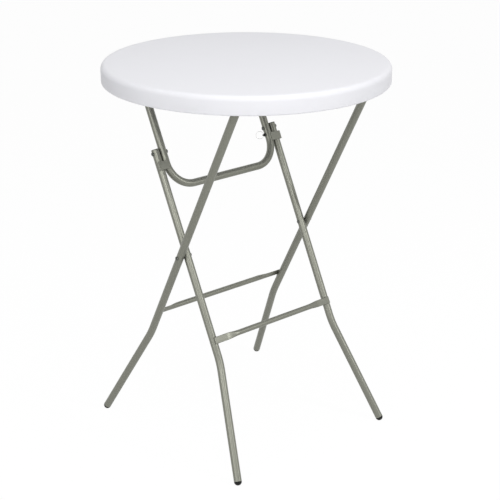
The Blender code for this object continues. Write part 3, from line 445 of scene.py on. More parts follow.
def grow(name, tree, values, source=None, sharp=CREASE):
    carrier = piece_of(name, source or bpy.data.meshes.new(name))
    shape = carrier.modifiers.new("shape", "NODES")
    shape.node_group = tree
    for item in tree.interface.items_tree:
        if item.item_type == "SOCKET" and item.in_out == "INPUT" and item.name in values:
            shape[item.identifier] = values[item.name]
    mesh = evaluated_mesh(carrier)
    bpy.data.objects.remove(carrier)
    mesh.name = name
    return smooth(piece_of(name, mesh), sharp)


def dress(piece, material, body, slot, *nodes):
    """Give a finished piece its material and the body it rides on, and hide the nodes it stands
    for.
    """
    piece.data.materials.clear()
    piece.data.materials.append(material)
    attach(piece, body)
    if nodes:
        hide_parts(*nodes)
    return piece


print("piece helpers", [helper.__name__ for helper in (grow, settle, dress)])

# %% [markdown]
# Most small parts, and the tabletop itself, are turned: a profile swept round an axis.
# The tree starts from the profile as a row of points, repeats the row once for each step
# round the axis on a grid, and closes the seam and the poles by merging. Doing this with
# a grid keeps the points evenly spaced, which the shading of a large flat disc needs.

# %% Tree: lathe
def make_lathe():
    tree, given = start_tree(
        "lathe", "Profile", ("Steps", INT, 48), ("Merge Distance", FLOAT, 1e-6))
    size = add(tree, "GeometryNodeAttributeDomainSize", {"Geometry": given["Profile"]},
               component="MESH")
    count = size.outputs["Point Count"]
    grid = add(tree, "GeometryNodeMeshGrid",
               {"Vertices X": maths(tree, "ADD", given["Steps"], 1.0), "Vertices Y": count})
    index = add(tree, "GeometryNodeInputIndex")
    row = maths(tree, "MODULO", index, count)
    column = maths(tree, "FLOOR", maths(tree, "DIVIDE", index, count))
    angle = maths(tree, "MULTIPLY", maths(tree, "DIVIDE", column, given["Steps"]), math.tau)
    taken = add(tree, "GeometryNodeSampleIndex",
                {"Geometry": given["Profile"], "Index": row,
                 "Value": add(tree, "GeometryNodeInputPosition")},
                data_type="FLOAT_VECTOR", domain="POINT")
    swung = add(tree, "ShaderNodeVectorRotate",
                {"Vector": taken.outputs["Value"], "Angle": angle}, rotation_type="Z_AXIS")
    moved = add(tree, "GeometryNodeSetPosition",
                {"Geometry": grid.outputs["Mesh"], "Position": swung})
    seamless = add(tree, "GeometryNodeMergeByDistance",
                   {"Geometry": moved, "Distance": given["Merge Distance"]})
    return end_tree(tree, given, seamless)


LATHE = make_lathe()


def arc(centre, radius, start, end, steps):
    """Points of an arc in (radius, height), with its angles in quarter turns."""
    points = []
    for step in range(steps + 1):
        angle = math.pi / 2 * (start + (end - start) * step / steps)
        points.append((centre[0] + radius * math.cos(angle),
                       centre[1] + radius * math.sin(angle)))
    return points


def opened(piece):
    work = bmesh.new()
    work.from_mesh(piece.data)
    return work


def closed(piece, work):
    work.to_mesh(piece.data)
    work.free()


def outwards(piece):
    """Turn every face outwards, once doubled points are merged."""
    work = opened(piece)
    bmesh.ops.remove_doubles(work, verts=work.verts, dist=1e-7)
    bmesh.ops.recalc_face_normals(work, faces=work.faces)
    if work.calc_volume(signed=True) < 0:
        bmesh.ops.reverse_faces(work, faces=work.faces)
    closed(piece, work)


def lathe(name, profile, material, base=None, axis=None, steps=TURNED_STEPS, sharp=CREASE):
    row = bpy.data.meshes.new(name + "_profile")
    row.from_pydata([(radius, 0, height) for radius, height in profile],
                    [(n, n + 1) for n in range(len(profile) - 1)], [])
    made = grow(name, LATHE, {"Steps": steps, "Material": material}, row, sharp)
    if axis is not None:
        made.data.transform(aimed(base, axis))
    outwards(made)
    return made


print("lathe nodes", len(LATHE.nodes))

# %% [markdown]
# The tabletop is blow-moulded: a parison of plastic is blown against a mould, which gives
# one hollow shell with soft edges. Its underside is pressed up in a field of cone-shaped
# dimples that are fused to the top skin and keep it flat. The shell is a turned piece, and
# a second tree places the dimples and cuts them, because they repeat on a staggered grid.

# %% Tree: dimple field
def make_dimple_field():
    tree, given = start_tree(
        "dimple_field", "Shell", ("Places", "NodeSocketObject"), ("Mouth Radius", FLOAT, 0.011),
        ("Tip Radius", FLOAT, 0.004), ("Depth", FLOAT, 0.0125), ("Overlap", FLOAT, 0.002),
        ("Sides", INT, 20))
    spots = add(tree, "GeometryNodeObjectInfo", {"Object": given["Places"]})
    tall = maths(tree, "ADD", given["Depth"], given["Overlap"])
    cone = add(tree, "GeometryNodeMeshCone",
               {"Vertices": given["Sides"], "Radius Top": given["Tip Radius"],
                "Radius Bottom": given["Mouth Radius"], "Depth": tall})
    lift = add(tree, "ShaderNodeCombineXYZ", {"Z": maths(tree, "MULTIPLY", given["Overlap"], -1.0)})
    dropped = add(tree, "GeometryNodeTransform",
                  {"Geometry": cone.outputs["Mesh"], "Translation": lift})
    field = add(tree, "GeometryNodeInstanceOnPoints",
                {"Points": spots.outputs["Geometry"], "Instance": dropped})
    solid = add(tree, "GeometryNodeRealizeInstances", {"Geometry": field})
    carved = add(tree, "GeometryNodeMeshBoolean",
                 {"Mesh 1": given["Shell"], "Mesh 2": solid}, operation="DIFFERENCE",
                 solver="EXACT")
    return end_tree(tree, given, carved.outputs["Mesh"])


DIMPLE_FIELD = make_dimple_field()
print("dimple field nodes", len(DIMPLE_FIELD.nodes))

# %% [markdown]
# The shell's profile runs from the middle of the top, over the large rounded edge, down
# the rim, round its two small lower edges and back under the panel. The dimples stand on
# a staggered grid, and leave room where the bracket plates are screwed on.

# %% Tabletop
TOP_EDGE, RIM_EDGE, RIM_FILLET, SHELL_STEPS = 0.0148, 0.004, 0.003, 192
recess = TABLE_RADIUS - RIM_WIDTH
shell_profile = [
    (0, TABLE_HEIGHT), *((TABLE_RADIUS * share, TABLE_HEIGHT) for share in (0.25, 0.5, 0.75, 0.93)),
    *arc((TABLE_RADIUS - TOP_EDGE, TABLE_HEIGHT - TOP_EDGE), TOP_EDGE, 1, 0, 12),
    *arc((TABLE_RADIUS - RIM_EDGE, RIM_BOTTOM + RIM_EDGE), RIM_EDGE, 0, -1, 6),
    *arc((recess + RIM_EDGE, RIM_BOTTOM + RIM_EDGE), RIM_EDGE, -1, -2, 6),
    *arc((recess - RIM_FILLET, PANEL_BOTTOM - RIM_FILLET), RIM_FILLET, 0, 1, 5),
    *((recess * share, PANEL_BOTTOM) for share in (0.9, 0.6, 0.3)), (0, PANEL_BOTTOM)]
shell = lathe("tabletop_shell", shell_profile, TABLE_PLASTIC, steps=SHELL_STEPS)

DIMPLE_PITCH, FIELD_RADIUS, ROWS_OUT, COLUMNS_OUT = 0.104, 0.345, 3, 4
EAR_PLAY = 0.0006
PLATE_HALF_WIDTH, PLATE_INWARDS, PLATE_OUTWARDS = 0.040, 0.057, 0.018
PLATES = ((OUTER_PIVOT_X, OUTER_HALF - TUBE_RADIUS - EAR_PLAY),
          (BRACE_PIVOT_X, BRACE_HALF - TUBE_RADIUS - EAR_PLAY))
spots = []
for row in range(-ROWS_OUT, ROWS_OUT + 1):
    for column in range(-COLUMNS_OUT, COLUMNS_OUT + 1):
        x = row * DIMPLE_PITCH * math.sqrt(3) / 2
        y = column * DIMPLE_PITCH + (DIMPLE_PITCH / 2 if row % 2 else 0)
        plated = any(abs(x - plate_x) < PLATE_HALF_WIDTH
                     and ear - PLATE_INWARDS < abs(y) < ear + PLATE_OUTWARDS
                     for plate_x, ear in PLATES)
        if 0 < math.hypot(x, y) < FIELD_RADIUS and not plated:
            spots.append((x, y, PANEL_BOTTOM))
spot_mesh = bpy.data.meshes.new("dimple_places")
spot_mesh.from_pydata(spots, [], [])
places = piece_of("dimple_places", spot_mesh)
top = grow("blow_moulded_top", DIMPLE_FIELD, {"Places": places, "Material": TABLE_PLASTIC},
           shell.data, FINE_CREASE)
bpy.data.objects.remove(places)
bpy.data.objects.remove(shell)
dress(top, TABLE_PLASTIC, "tabletop", "table_plastic", "tabletop")
print("dimples", len(spots), "top faces", len(top.data.polygons))

# %% [markdown]
# Both frames and the brace are bent steel tube. A tube follows a path, so a tree makes it
# too: the path's corners are rounded to the bender's radius, a circle is swept along it,
# and the open skin is then thickened inwards to the real wall. The holes for the rods and
# the bolts are drilled last, as they would be on the bench.

# %% Tree: bent tube
def make_bent_tube():
    tree, given = start_tree(
        "bent_tube", "Path", ("Radius", FLOAT, 0.011), ("Bend Radius", FLOAT, 0.250),
        ("Bend Steps", INT, 16), ("Sides", INT, 40))
    bent = add(tree, "GeometryNodeFilletCurve",
               {"Curve": given["Path"], "Count": given["Bend Steps"],
                "Radius": given["Bend Radius"], "Limit Radius": True}, mode="POLY")
    section = add(tree, "GeometryNodeCurvePrimitiveCircle",
                  {"Resolution": given["Sides"], "Radius": given["Radius"]})
    skin = add(tree, "GeometryNodeCurveToMesh",
               {"Curve": bent, "Profile Curve": section.outputs["Curve"]})
    return end_tree(tree, given, skin)


BENT_TUBE = make_bent_tube()


def path_of(name, corners, cyclic=False):
    line = bpy.data.curves.new(name + "_path", "CURVE")
    line.dimensions = "3D"
    spline = line.splines.new("POLY")
    spline.points.add(len(corners) - 1)
    for knot, corner in zip(spline.points, corners):
        knot.co = (*corner, 1)
    spline.use_cyclic_u = cyclic
    return line


def facing_out(piece, middle):
    """Turn the skin of an open tube away from a point on its centre line."""
    work = opened(piece)
    bmesh.ops.recalc_face_normals(work, faces=work.faces)
    face = min(work.faces, key=lambda one: (one.calc_center_median() - middle).length)
    if face.normal.dot(face.calc_center_median() - middle) < 0:
        bmesh.ops.reverse_faces(work, faces=work.faces)
    closed(piece, work)


def drill(piece, start, end, radius, sides=32):
    """Cut a round hole from start to end."""
    work = bmesh.new()
    bmesh.ops.create_cone(work, cap_ends=True, segments=sides, radius1=radius,
                          radius2=radius, depth=(end - start).length,
                          matrix=aimed((start + end) / 2, end - start))
    bit = piece_from(work, "drill_bit")
    hole = piece.modifiers.new("hole", "BOOLEAN")
    hole.operation = "DIFFERENCE"
    hole.solver = "EXACT"
    hole.object = bit
    settle(piece)
    bpy.data.objects.remove(bit)


def thicken(piece, even):
    wall = piece.modifiers.new("wall", "SOLIDIFY")
    wall.thickness = TUBE_WALL
    wall.offset = -1
    wall.use_even_offset = even
    settle(piece)


def tube(name, corners, bend_radius, holes, steps=16):
    made = grow(name, BENT_TUBE,
                {"Radius": TUBE_RADIUS, "Bend Radius": bend_radius, "Bend Steps": steps,
                 "Material": POWDER_COAT}, path_of(name, corners))
    facing_out(made, (corners[0] + corners[1]) / 2)
    thicken(made, True)
    for start, end, radius in holes:
        drill(made, start, end, radius)
    return made


print("bent tube nodes", len(BENT_TUBE.nodes))

# %% [markdown]
# The four legs are alike: straight from the top down to one long bend, and splayed from
# there to the floor. The outer legs reach up to their pivot rod, the inner ones end just
# above the bolt that hangs them on the brace. Each is drilled at its two pivots.

# %% Legs
INNER_OVERRUN, TUBE_END_HEIGHT = 0.0102, 0.0103
INNER_TOP = BOLT_ALONG - INNER_OVERRUN
ROD_HOLE, BOLT_HOLE, SCREW_HOLE, SLEEVE_HOLE = 0.0053, 0.0043, 0.0038, 0.0048
DRILL_SPARE = 0.002


def leg_corners(line, top, half, side):
    bend = line.at(line.length - FLARE_LENGTH, 0, side * half)
    floor_point = line.at(line.length, 0, side * (half + FLARE_WIDTH)) + line.kick
    splay = (floor_point - bend).normalized()
    end = floor_point + splay * (TUBE_END_HEIGHT / splay.z)
    return [line.at(top, 0, side * half), bend, end], splay


def across(line, along, half, side, radius):
    """A hole right through a tube, in the direction of the pivot rods."""
    reach = TUBE_RADIUS + DRILL_SPARE
    return (line.at(along, 0, side * (half - reach)),
            line.at(along, 0, side * (half + reach)), radius)


FRAMES = {"outer": (OUTER, -PIVOT_OVERRUN, OUTER_HALF,
                    ((0, ROD_HOLE), (OUTER_CROSSING, SCREW_HOLE))),
          "inner": (INNER, INNER_TOP, INNER_HALF,
                    ((BOLT_ALONG, BOLT_HOLE), (INNER_CROSSING, SLEEVE_HOLE)))}
for side_name, side in SIDES.items():
    for frame_name, (line, top_along, half, drillings) in FRAMES.items():
        corners, _ = leg_corners(line, top_along, half, side)
        leg = tube(f"{frame_name}_leg_tube_{side_name}", corners, FLARE_BEND_RADIUS,
                   [across(line, along, half, side, radius) for along, radius in drillings])
        dress(leg, POWDER_COAT, f"{frame_name}_frame", "powder_coat",
              f"{frame_name}_leg_{side_name}")
print("leg faces", len(leg.data.polygons))

# %% [markdown]
# The brace is one tube bent to a U with tight corners. Both arms are drilled for the rod
# and for the bolt, and the right arm for the lock: a wide hole on its inner side, which
# takes the barrel, and a narrow one on the side of the leg, where only the pin comes out.

# %% Brace
BAR_ALONG, BRACE_BEND_RADIUS = 0.354, 0.073
BARREL_HOLE, PIN_HOLE = 0.0053, 0.0028
corners = [INNER.at(-PIVOT_OVERRUN, 0, -BRACE_HALF), INNER.at(BAR_ALONG, 0, -BRACE_HALF),
           INNER.at(BAR_ALONG, 0, BRACE_HALF), INNER.at(-PIVOT_OVERRUN, 0, BRACE_HALF)]
holes = [across(INNER, along, BRACE_HALF, side, radius)
         for along, radius in ((0, ROD_HOLE), (BOLT_ALONG, BOLT_HOLE))
         for side in SIDES.values()]
lock_in, lock_out, _ = across(INNER, LOCK_ALONG, BRACE_HALF, 1, PIN_HOLE)
lock_middle = INNER.at(LOCK_ALONG, 0, BRACE_HALF)
holes += [(lock_in, lock_middle, BARREL_HOLE), (lock_middle, lock_out, PIN_HOLE)]
brace = tube("brace_bent_tube", corners, BRACE_BEND_RADIUS, holes, steps=20)
dress(brace, POWDER_COAT, "brace", "powder_coat", "brace_tube")
print("brace faces", len(brace.data.polygons))

# %% [markdown]
# A crossbar is a thinner tube whose two ends are squeezed in a press until they are flat
# paddles, which then lie against the legs. The section changes from a circle to a flat
# stadium by a rule, so a tree bends a plain grid to it: one direction of the grid runs
# along the bar, the other round its section.

# %% Tree: pressed tube
MIDDLE_OFFSET, FLAT_OFFSET = 0.0145, 0.0129


def make_pressed_tube():
    tree, given = start_tree(
        "pressed_tube", "Start", ("Reach", FLOAT, 0.221), ("Radius", FLOAT, 0.0078),
        ("Flat Half Height", FLOAT, 0.0100), ("Flat Half Depth", FLOAT, 0.0016),
        ("Flat Length", FLOAT, 0.045), ("Taper Length", FLOAT, 0.040),
        ("Middle Offset", FLOAT, MIDDLE_OFFSET), ("Flat Offset", FLOAT, FLAT_OFFSET),
        ("Along", INT, 121), ("Round", INT, 40))

    def calc(operation, *values):
        return maths(tree, operation, *values)

    grid = add(tree, "GeometryNodeMeshGrid",
               {"Size X": 1.0, "Size Y": 1.0, "Vertices X": given["Along"],
                "Vertices Y": calc("ADD", given["Round"], 1.0)})
    spot = add(tree, "ShaderNodeSeparateXYZ",
               {"Vector": add(tree, "GeometryNodeInputPosition")})
    along = calc("MULTIPLY", spot.outputs["X"], calc("MULTIPLY", given["Reach"], 2.0))
    flat_start = calc("SUBTRACT", given["Reach"], given["Flat Length"])
    taper = add(tree, "ShaderNodeMapRange",
                {"Value": calc("ABSOLUTE", along), "To Max": 1.0, "From Max": flat_start,
                 "From Min": calc("SUBTRACT", flat_start, given["Taper Length"])},
                interpolation_type="SMOOTHSTEP")

    def between(first, second):
        return calc("MULTIPLY_ADD", calc("SUBTRACT", second, first),
                    taper.outputs["Result"], first)

    half_height = between(given["Radius"], given["Flat Half Height"])
    half_depth = between(given["Radius"], given["Flat Half Depth"])
    offset = between(given["Middle Offset"], given["Flat Offset"])
    turn = calc("ADD", spot.outputs["Y"], calc("DIVIDE", 0.5, given["Round"]))
    angle = calc("MULTIPLY", turn, math.tau)
    cosine = calc("COSINE", angle)
    straight = calc("MULTIPLY", calc("SIGN", cosine), calc("SUBTRACT", half_height, half_depth))
    place = add(tree, "ShaderNodeCombineXYZ",
                {"X": calc("MULTIPLY_ADD", half_depth, cosine, straight),
                 "Y": calc("MULTIPLY_ADD", half_depth, calc("SINE", angle), offset),
                 "Z": along})
    moved = add(tree, "GeometryNodeSetPosition",
                {"Geometry": grid.outputs["Mesh"], "Position": place})
    seamless = add(tree, "GeometryNodeMergeByDistance", {"Geometry": moved, "Distance": 1e-6})
    return end_tree(tree, given, seamless)


PRESSED_TUBE = make_pressed_tube()
print("pressed tube nodes", len(PRESSED_TUBE.nodes))

# %% [markdown]
# One bar joins the two outer legs and one the two inner legs, both just above the bend
# where the legs splay. Their paddles lie on the faces of the legs, so the bars pass each
# other when the table folds.

# %% Crossbars
OUTER_BAR_RISE, INNER_BAR_RISE = 0.0746, 0.0645
OUTER_BAR_LAP, INNER_BAR_LAP = -0.001, 0.004
OUTER_BAR_ALONG = OUTER.length - FLARE_LENGTH - OUTER_BAR_RISE
INNER_BAR_ALONG = INNER.length - FLARE_LENGTH - INNER_BAR_RISE


def basis(origin, first, second, third):
    return Matrix.Translation(origin) @ Matrix((first, second, third)).transposed().to_4x4()


def crossbar(frame_name, line, along, reach):
    bar = grow(f"{frame_name}_pressed_crossbar", PRESSED_TUBE,
               {"Reach": reach, "Material": POWDER_COAT})
    bar.data.transform(basis(line.at(along, 0, 0), line.down, line.face, SIDEWAYS))
    facing_out(bar, line.at(along, MIDDLE_OFFSET, 0))
    thicken(bar, False)
    return dress(bar, POWDER_COAT, f"{frame_name}_frame", "powder_coat",
                 f"{frame_name}_crossbar")


bars = [crossbar("outer", OUTER, OUTER_BAR_ALONG, OUTER_HALF + OUTER_BAR_LAP),
        crossbar("inner", INNER, INNER_BAR_ALONG, INNER_HALF + INNER_BAR_LAP)]
print("crossbar faces", [len(bar.data.polygons) for bar in bars])

# %% [markdown]
# Each inner leg rests in a saddle, a plate welded across the brace's arm with a hook that
# wraps the leg's outer side. It is a flat strip bent once, so its section is drawn as an
# outline, extruded, and its sheared edges are broken with a small bevel.

# %% Saddles
def break_edges(piece, width, least_angle):
    edge = piece.modifiers.new("broken_edge", "BEVEL")
    edge.width = width
    edge.segments = 2
    edge.limit_method = "ANGLE"
    edge.angle_limit = math.radians(least_angle)


def strip(name, outline, half_width, place, bevel):
    """A strip: a closed outline in the first two directions, thickened along the third."""
    work = bmesh.new()
    loop = [work.verts.new((first, second, -half_width)) for first, second in outline]
    face = work.faces.new(loop)
    raised = bmesh.ops.extrude_face_region(work, geom=[face])
    top_points = [item for item in raised["geom"] if isinstance(item, bmesh.types.BMVert)]
    bmesh.ops.translate(work, verts=top_points, vec=(0, 0, 2 * half_width))
    bmesh.ops.transform(work, matrix=place, verts=work.verts)
    bmesh.ops.recalc_face_normals(work, faces=work.faces)
    made = smooth(piece_from(work, name), ALL_SMOOTH)
    break_edges(made, bevel, CREASE)
    made.modifiers.new("flat_faces", "WEIGHTED_NORMAL")
    return settle(made, None)


SADDLE_LENGTH, SADDLE_SHEET, HOOK_SHEET = 0.0245, 0.002, 0.0016
SADDLE_DROPS = {"left": 0.0055, "right": -0.0025}
SADDLE_INSET, SADDLE_BEND, SADDLE_BEVEL = 0.0005, 0.0018, 0.0003
face = TUBE_RADIUS + GAP
plate_in = BRACE_HALF - SADDLE_INSET
hook_in = INNER_HALF + TUBE_RADIUS + SADDLE_INSET
hook_out = hook_in + HOOK_SHEET
bend = arc((hook_out - SADDLE_BEND, face + SADDLE_SHEET - SADDLE_BEND), SADDLE_BEND, 1, 0, 5)
outline = [(plate_in, face + SADDLE_SHEET), *bend, (hook_out, SADDLE_INSET),
           (hook_in, SADDLE_INSET), (hook_in, face), (plate_in, face)]
for side_name, side in SIDES.items():
    middle = INNER.at(LOCK_ALONG + SADDLE_DROPS[side_name] + SADDLE_LENGTH / 2, 0, 0)
    saddle = strip(f"saddle_plate_{side_name}", outline, SADDLE_LENGTH / 2,
                   basis(middle, SIDEWAYS * side, INNER.face, INNER.down * side),
                   SADDLE_BEVEL)
    dress(saddle, POWDER_COAT, "brace", "powder_coat", f"saddle_{side_name}")
print("saddle faces", len(saddle.data.polygons))

# %% [markdown]
# The crossbars and the saddles are welded on. A weld is a row of small overlapping
# blobs along a line, so a tree walks the line, drops a blob every millimetre, and varies
# its size a little with a fixed seed, as a hand-held torch does.

# %% Tree: weld bead
def make_weld_bead():
    tree, given = start_tree(
        "weld_bead", "Line", ("Spacing", FLOAT, 0.0010), ("Blob Radius", FLOAT, 0.0010),
        ("Unevenness", FLOAT, 0.18), ("Seed", INT, 3))
    steps = add(tree, "GeometryNodeResampleCurve",
                {"Curve": given["Line"], "Length": given["Spacing"]}, mode="LENGTH")
    blob = add(tree, "GeometryNodeMeshIcoSphere",
               {"Radius": given["Blob Radius"], "Subdivisions": 2})
    size = add(tree, "FunctionNodeRandomValue", {"Seed": given["Seed"]}, data_type="FLOAT")
    limits = {"Min": maths(tree, "SUBTRACT", 1.0, given["Unevenness"]),
              "Max": maths(tree, "ADD", 1.0, given["Unevenness"])}
    for socket in size.inputs:
        if socket.enabled and socket.name in limits:
            tree.links.new(limits[socket.name], socket)
    amount = next(socket for socket in size.outputs if socket.enabled)
    row = add(tree, "GeometryNodeInstanceOnPoints",
              {"Points": steps, "Instance": blob.outputs["Mesh"], "Scale": amount})
    return end_tree(tree, given, row)


WELD_BEAD = make_weld_bead()


def weld(name, lines, body, seed):
    work = bmesh.new()
    for number, points in enumerate(lines):
        run = grow(f"{name}_{number}", WELD_BEAD, {"Seed": seed + number, "Material": WELD_COAT},
                   path_of(name, points), ALL_SMOOTH)
        work.from_mesh(run.data)
        bpy.data.objects.remove(run)
    return dress(smooth(piece_from(work, name), ALL_SMOOTH), WELD_COAT, body, "powder_coat")


print("weld bead nodes", len(WELD_BEAD.nodes))

# %% [markdown]
# The beads run along both long edges of every paddle, where it meets the round face of
# its leg, and along the upper and lower edge of each saddle, round the brace's arm. The
# arm already curves inwards at the lower edge of a saddle, and the bead follows it.

# %% Welds
PADDLE_EDGE, SADDLE_EDGE, WELD_LIFT = 0.0105, 0.0004, 0.0002
PADDLE_TURNS, SADDLE_TURNS = range(-40, 1, 10), range(0, 37, 12)


def on_tube(line, half, along, turn, side):
    """A point on a leg's skin: turn is counted from its face towards the outside."""
    skin = TUBE_RADIUS + WELD_LIFT
    return line.at(along, skin * math.cos(turn), side * (half + skin * math.sin(turn)))


def bar_lines(line, half, along):
    return [[on_tube(line, half, edge, math.radians(turn), side) for turn in PADDLE_TURNS]
            for side in SIDES.values() for edge in (along - PADDLE_EDGE, along + PADDLE_EDGE)]


def saddle_line(along, side):
    on_bend = max(along - (BAR_ALONG - BRACE_BEND_RADIUS), 0)
    inward = BRACE_BEND_RADIUS - math.sqrt(BRACE_BEND_RADIUS**2 - on_bend**2)
    return [on_tube(INNER, BRACE_HALF - inward, along, math.radians(turn), side)
            for turn in SADDLE_TURNS]


saddle_lines = [saddle_line(LOCK_ALONG + SADDLE_DROPS[side_name] + edge, side)
                for side_name, side in SIDES.items()
                for edge in (-SADDLE_EDGE, SADDLE_LENGTH + SADDLE_EDGE)]
beads = [weld("outer_crossbar_welds", bar_lines(OUTER, OUTER_HALF, OUTER_BAR_ALONG),
              "outer_frame", 11),
         weld("inner_crossbar_welds", bar_lines(INNER, INNER_HALF, INNER_BAR_ALONG),
              "inner_frame", 23),
         weld("saddle_welds", saddle_lines, "brace", 37)]
print("weld faces", [len(bead.data.polygons) for bead in beads])

# %% [markdown]
# The pivots under the top are two long steel rods. Push-on caps keep the tubes on them.
# The pivots further down are bolts: a low round head with a hexagon socket outside, a nut
# on the brace's inner side, and at the crossing of the frames a screw that meets a
# threaded sleeve. All of them are turned, and their sockets are cut afterwards.

# %% Turned hardware
HEAD_RADIUS, HEAD_HEIGHT, HEAD_EDGE = 0.0056, 0.0022, 0.0010
SOCKET_RADIUS, SOCKET_FLOOR, SOCKET_MOUTH = 0.0020, 0.0009, 0.006
BOLT_RADIUS, BOLT_TIP, BOLT_PAST_NUT = 0.004, 0.0005, 0.002
SCREW_RADIUS = 0.0035
SLEEVE_RADIUS, SLEEVE_BORE, SLEEVE_FLOOR = 0.0045, 0.0028, 0.002
SLEEVE_HEAD_RADIUS, SLEEVE_HEAD_HEIGHT, SLEEVE_HEAD_EDGE = 0.0052, 0.0012, 0.0008
inner_out, inner_in = INNER_HALF + TUBE_RADIUS, INNER_HALF - TUBE_RADIUS
outer_out, brace_in = OUTER_HALF + TUBE_RADIUS, BRACE_HALF - TUBE_RADIUS


def round_head(radius, height, edge):
    return [(0, height), (radius * 0.5, height * 0.98),
            *arc((radius - edge, height - edge), edge, 1, 0, 5), (radius, 0)]


bolt_end = brace_in - GAP - BOLT_PAST_NUT - inner_out - GAP
pan_head = round_head(HEAD_RADIUS, HEAD_HEIGHT, HEAD_EDGE)
bolt_profile = [*pan_head, (BOLT_RADIUS, 0), (BOLT_RADIUS, bolt_end + BOLT_TIP),
                (BOLT_RADIUS - BOLT_TIP, bolt_end), (0, bolt_end)]
screw_end = inner_out - outer_out
screw_profile = [*pan_head, (SCREW_RADIUS, 0), (SCREW_RADIUS, screw_end), (0, screw_end)]
sleeve_end = inner_in - GAP - inner_out
sleeve_profile = [*round_head(SLEEVE_HEAD_RADIUS, SLEEVE_HEAD_HEIGHT, SLEEVE_HEAD_EDGE),
                  (SLEEVE_RADIUS, 0), (SLEEVE_RADIUS, sleeve_end), (SLEEVE_BORE, sleeve_end),
                  (SLEEVE_BORE, -SLEEVE_FLOOR), (0, -SLEEVE_FLOOR)]
for side_name, side in SIDES.items():
    out = SIDEWAYS * side
    for name, profile, line, along, across_by, axis, body, node in (
            ("brace_pivot_bolt", bolt_profile, INNER, BOLT_ALONG, inner_out + GAP, out,
             "brace", "brace_bolt"),
            ("crossing_pivot_screw", screw_profile, OUTER, OUTER_CROSSING, outer_out + GAP, out,
             "outer_frame", "crossing_screw"),
            ("crossing_sleeve_nut", sleeve_profile, INNER, INNER_CROSSING, inner_in - GAP, -out,
             "inner_frame", "sleeve_nut")):
        base = line.at(along, 0, side * across_by)
        # The heads and sleeve nuts take the zinc with painted shade.
        turned = lathe(f"{name}_{side_name}", profile, ZINC_PAINTED_SHADE, base, axis)
        if "sleeve" not in name:
            drill(turned, base + out * SOCKET_FLOOR, base + out * SOCKET_MOUTH,
                  SOCKET_RADIUS, sides=6)
        dress(turned, ZINC_PAINTED_SHADE, body, "zinc_steel", f"{node}_{side_name}")
        print(turned.name, "faces", len(turned.data.polygons))

# %% [markdown]
# A black foot is pushed into each leg: a stem with ribs that grip the tube, and a dome
# that stands on the floor. The dome is a little flattened where it stands, which a cut
# at floor height gives. The inner legs' upper ends hold thin plugs of the same plastic.

# %% Feet and plugs
FOOT_RADIUS, STEM_RADIUS, STEM_LENGTH = 0.0109, 0.0092, 0.016
RIBS, FIRST_RIB, RIB_PITCH, RIB_WIDTH, RIB_DEPTH = 4, 0.0145, 0.0036, 0.0014, 0.0006
PLUG_DEPTH, PLUG_PROUD = 0.005, 0.0018
rib_profile = []
for rib in range(RIBS):
    top_of_rib = FIRST_RIB - rib * RIB_PITCH
    valley = STEM_RADIUS - RIB_DEPTH
    rib_profile += [(STEM_RADIUS, top_of_rib), (STEM_RADIUS, top_of_rib - RIB_WIDTH),
                    (valley, top_of_rib - 0.0018), (valley, top_of_rib - 0.0032)]
foot_profile = [(0, STEM_LENGTH), (STEM_RADIUS - 0.001, STEM_LENGTH), *rib_profile,
                (STEM_RADIUS, 0), (STEM_RADIUS, -GAP),
                (FOOT_RADIUS - 0.0003, -GAP), (FOOT_RADIUS, -0.0006)]
foot_profile += arc((0, -0.0006), FOOT_RADIUS, 0, -1, 14)[1:]
plug_profile = [(0, PLUG_PROUD), (TUBE_RADIUS - 0.0012, PLUG_PROUD),
                (TUBE_RADIUS - 0.0004, 0.0015), (TUBE_RADIUS, 0.0010), (TUBE_RADIUS, GAP),
                (STEM_RADIUS, GAP), (STEM_RADIUS, -0.0035),
                (STEM_RADIUS - 0.0008, -PLUG_DEPTH), (0, -PLUG_DEPTH)]


def stand(foot):
    """Cut a foot flat where it stands on the floor."""
    work = opened(foot)
    everything = work.verts[:] + work.edges[:] + work.faces[:]
    cut = bmesh.ops.bisect_plane(work, geom=everything, plane_co=(0, 0, 0), plane_no=UP,
                                 clear_inner=True)
    rim = [item for item in cut["geom_cut"] if isinstance(item, bmesh.types.BMEdge)]
    if rim:
        bmesh.ops.contextual_create(work, geom=rim)
    bmesh.ops.recalc_face_normals(work, faces=work.faces)
    closed(foot, work)
    smooth(foot, FINE_CREASE)


for frame_name, (line, top_along, half, _) in FRAMES.items():
    for side_name, side in SIDES.items():
        corners, splay = leg_corners(line, top_along, half, side)
        foot = lathe(f"{frame_name}_domed_foot_{side_name}", foot_profile, BLACK_PLASTIC,
                     corners[-1], -splay, SMALL_TURNED_STEPS)
        stand(foot)
        dress(foot, BLACK_PLASTIC, f"{frame_name}_frame", "black_rubber",
              f"{frame_name}_foot_{side_name}")
for side_name, side in SIDES.items():
    plug = lathe(f"inner_end_plug_{side_name}", plug_profile, BLACK_PLASTIC,
                 INNER.at(INNER_TOP, 0, side * INNER_HALF), -INNER.down, SMALL_TURNED_STEPS)
    dress(plug, BLACK_PLASTIC, "inner_frame", "black_rubber", f"inner_top_plug_{side_name}")
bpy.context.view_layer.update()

# %% [markdown]
# The lock is a sprung pin in a barrel on the right arm. A thin wire ring through the
# pin's head is the finger pull. The ring is a tube too: its path is a closed circle.

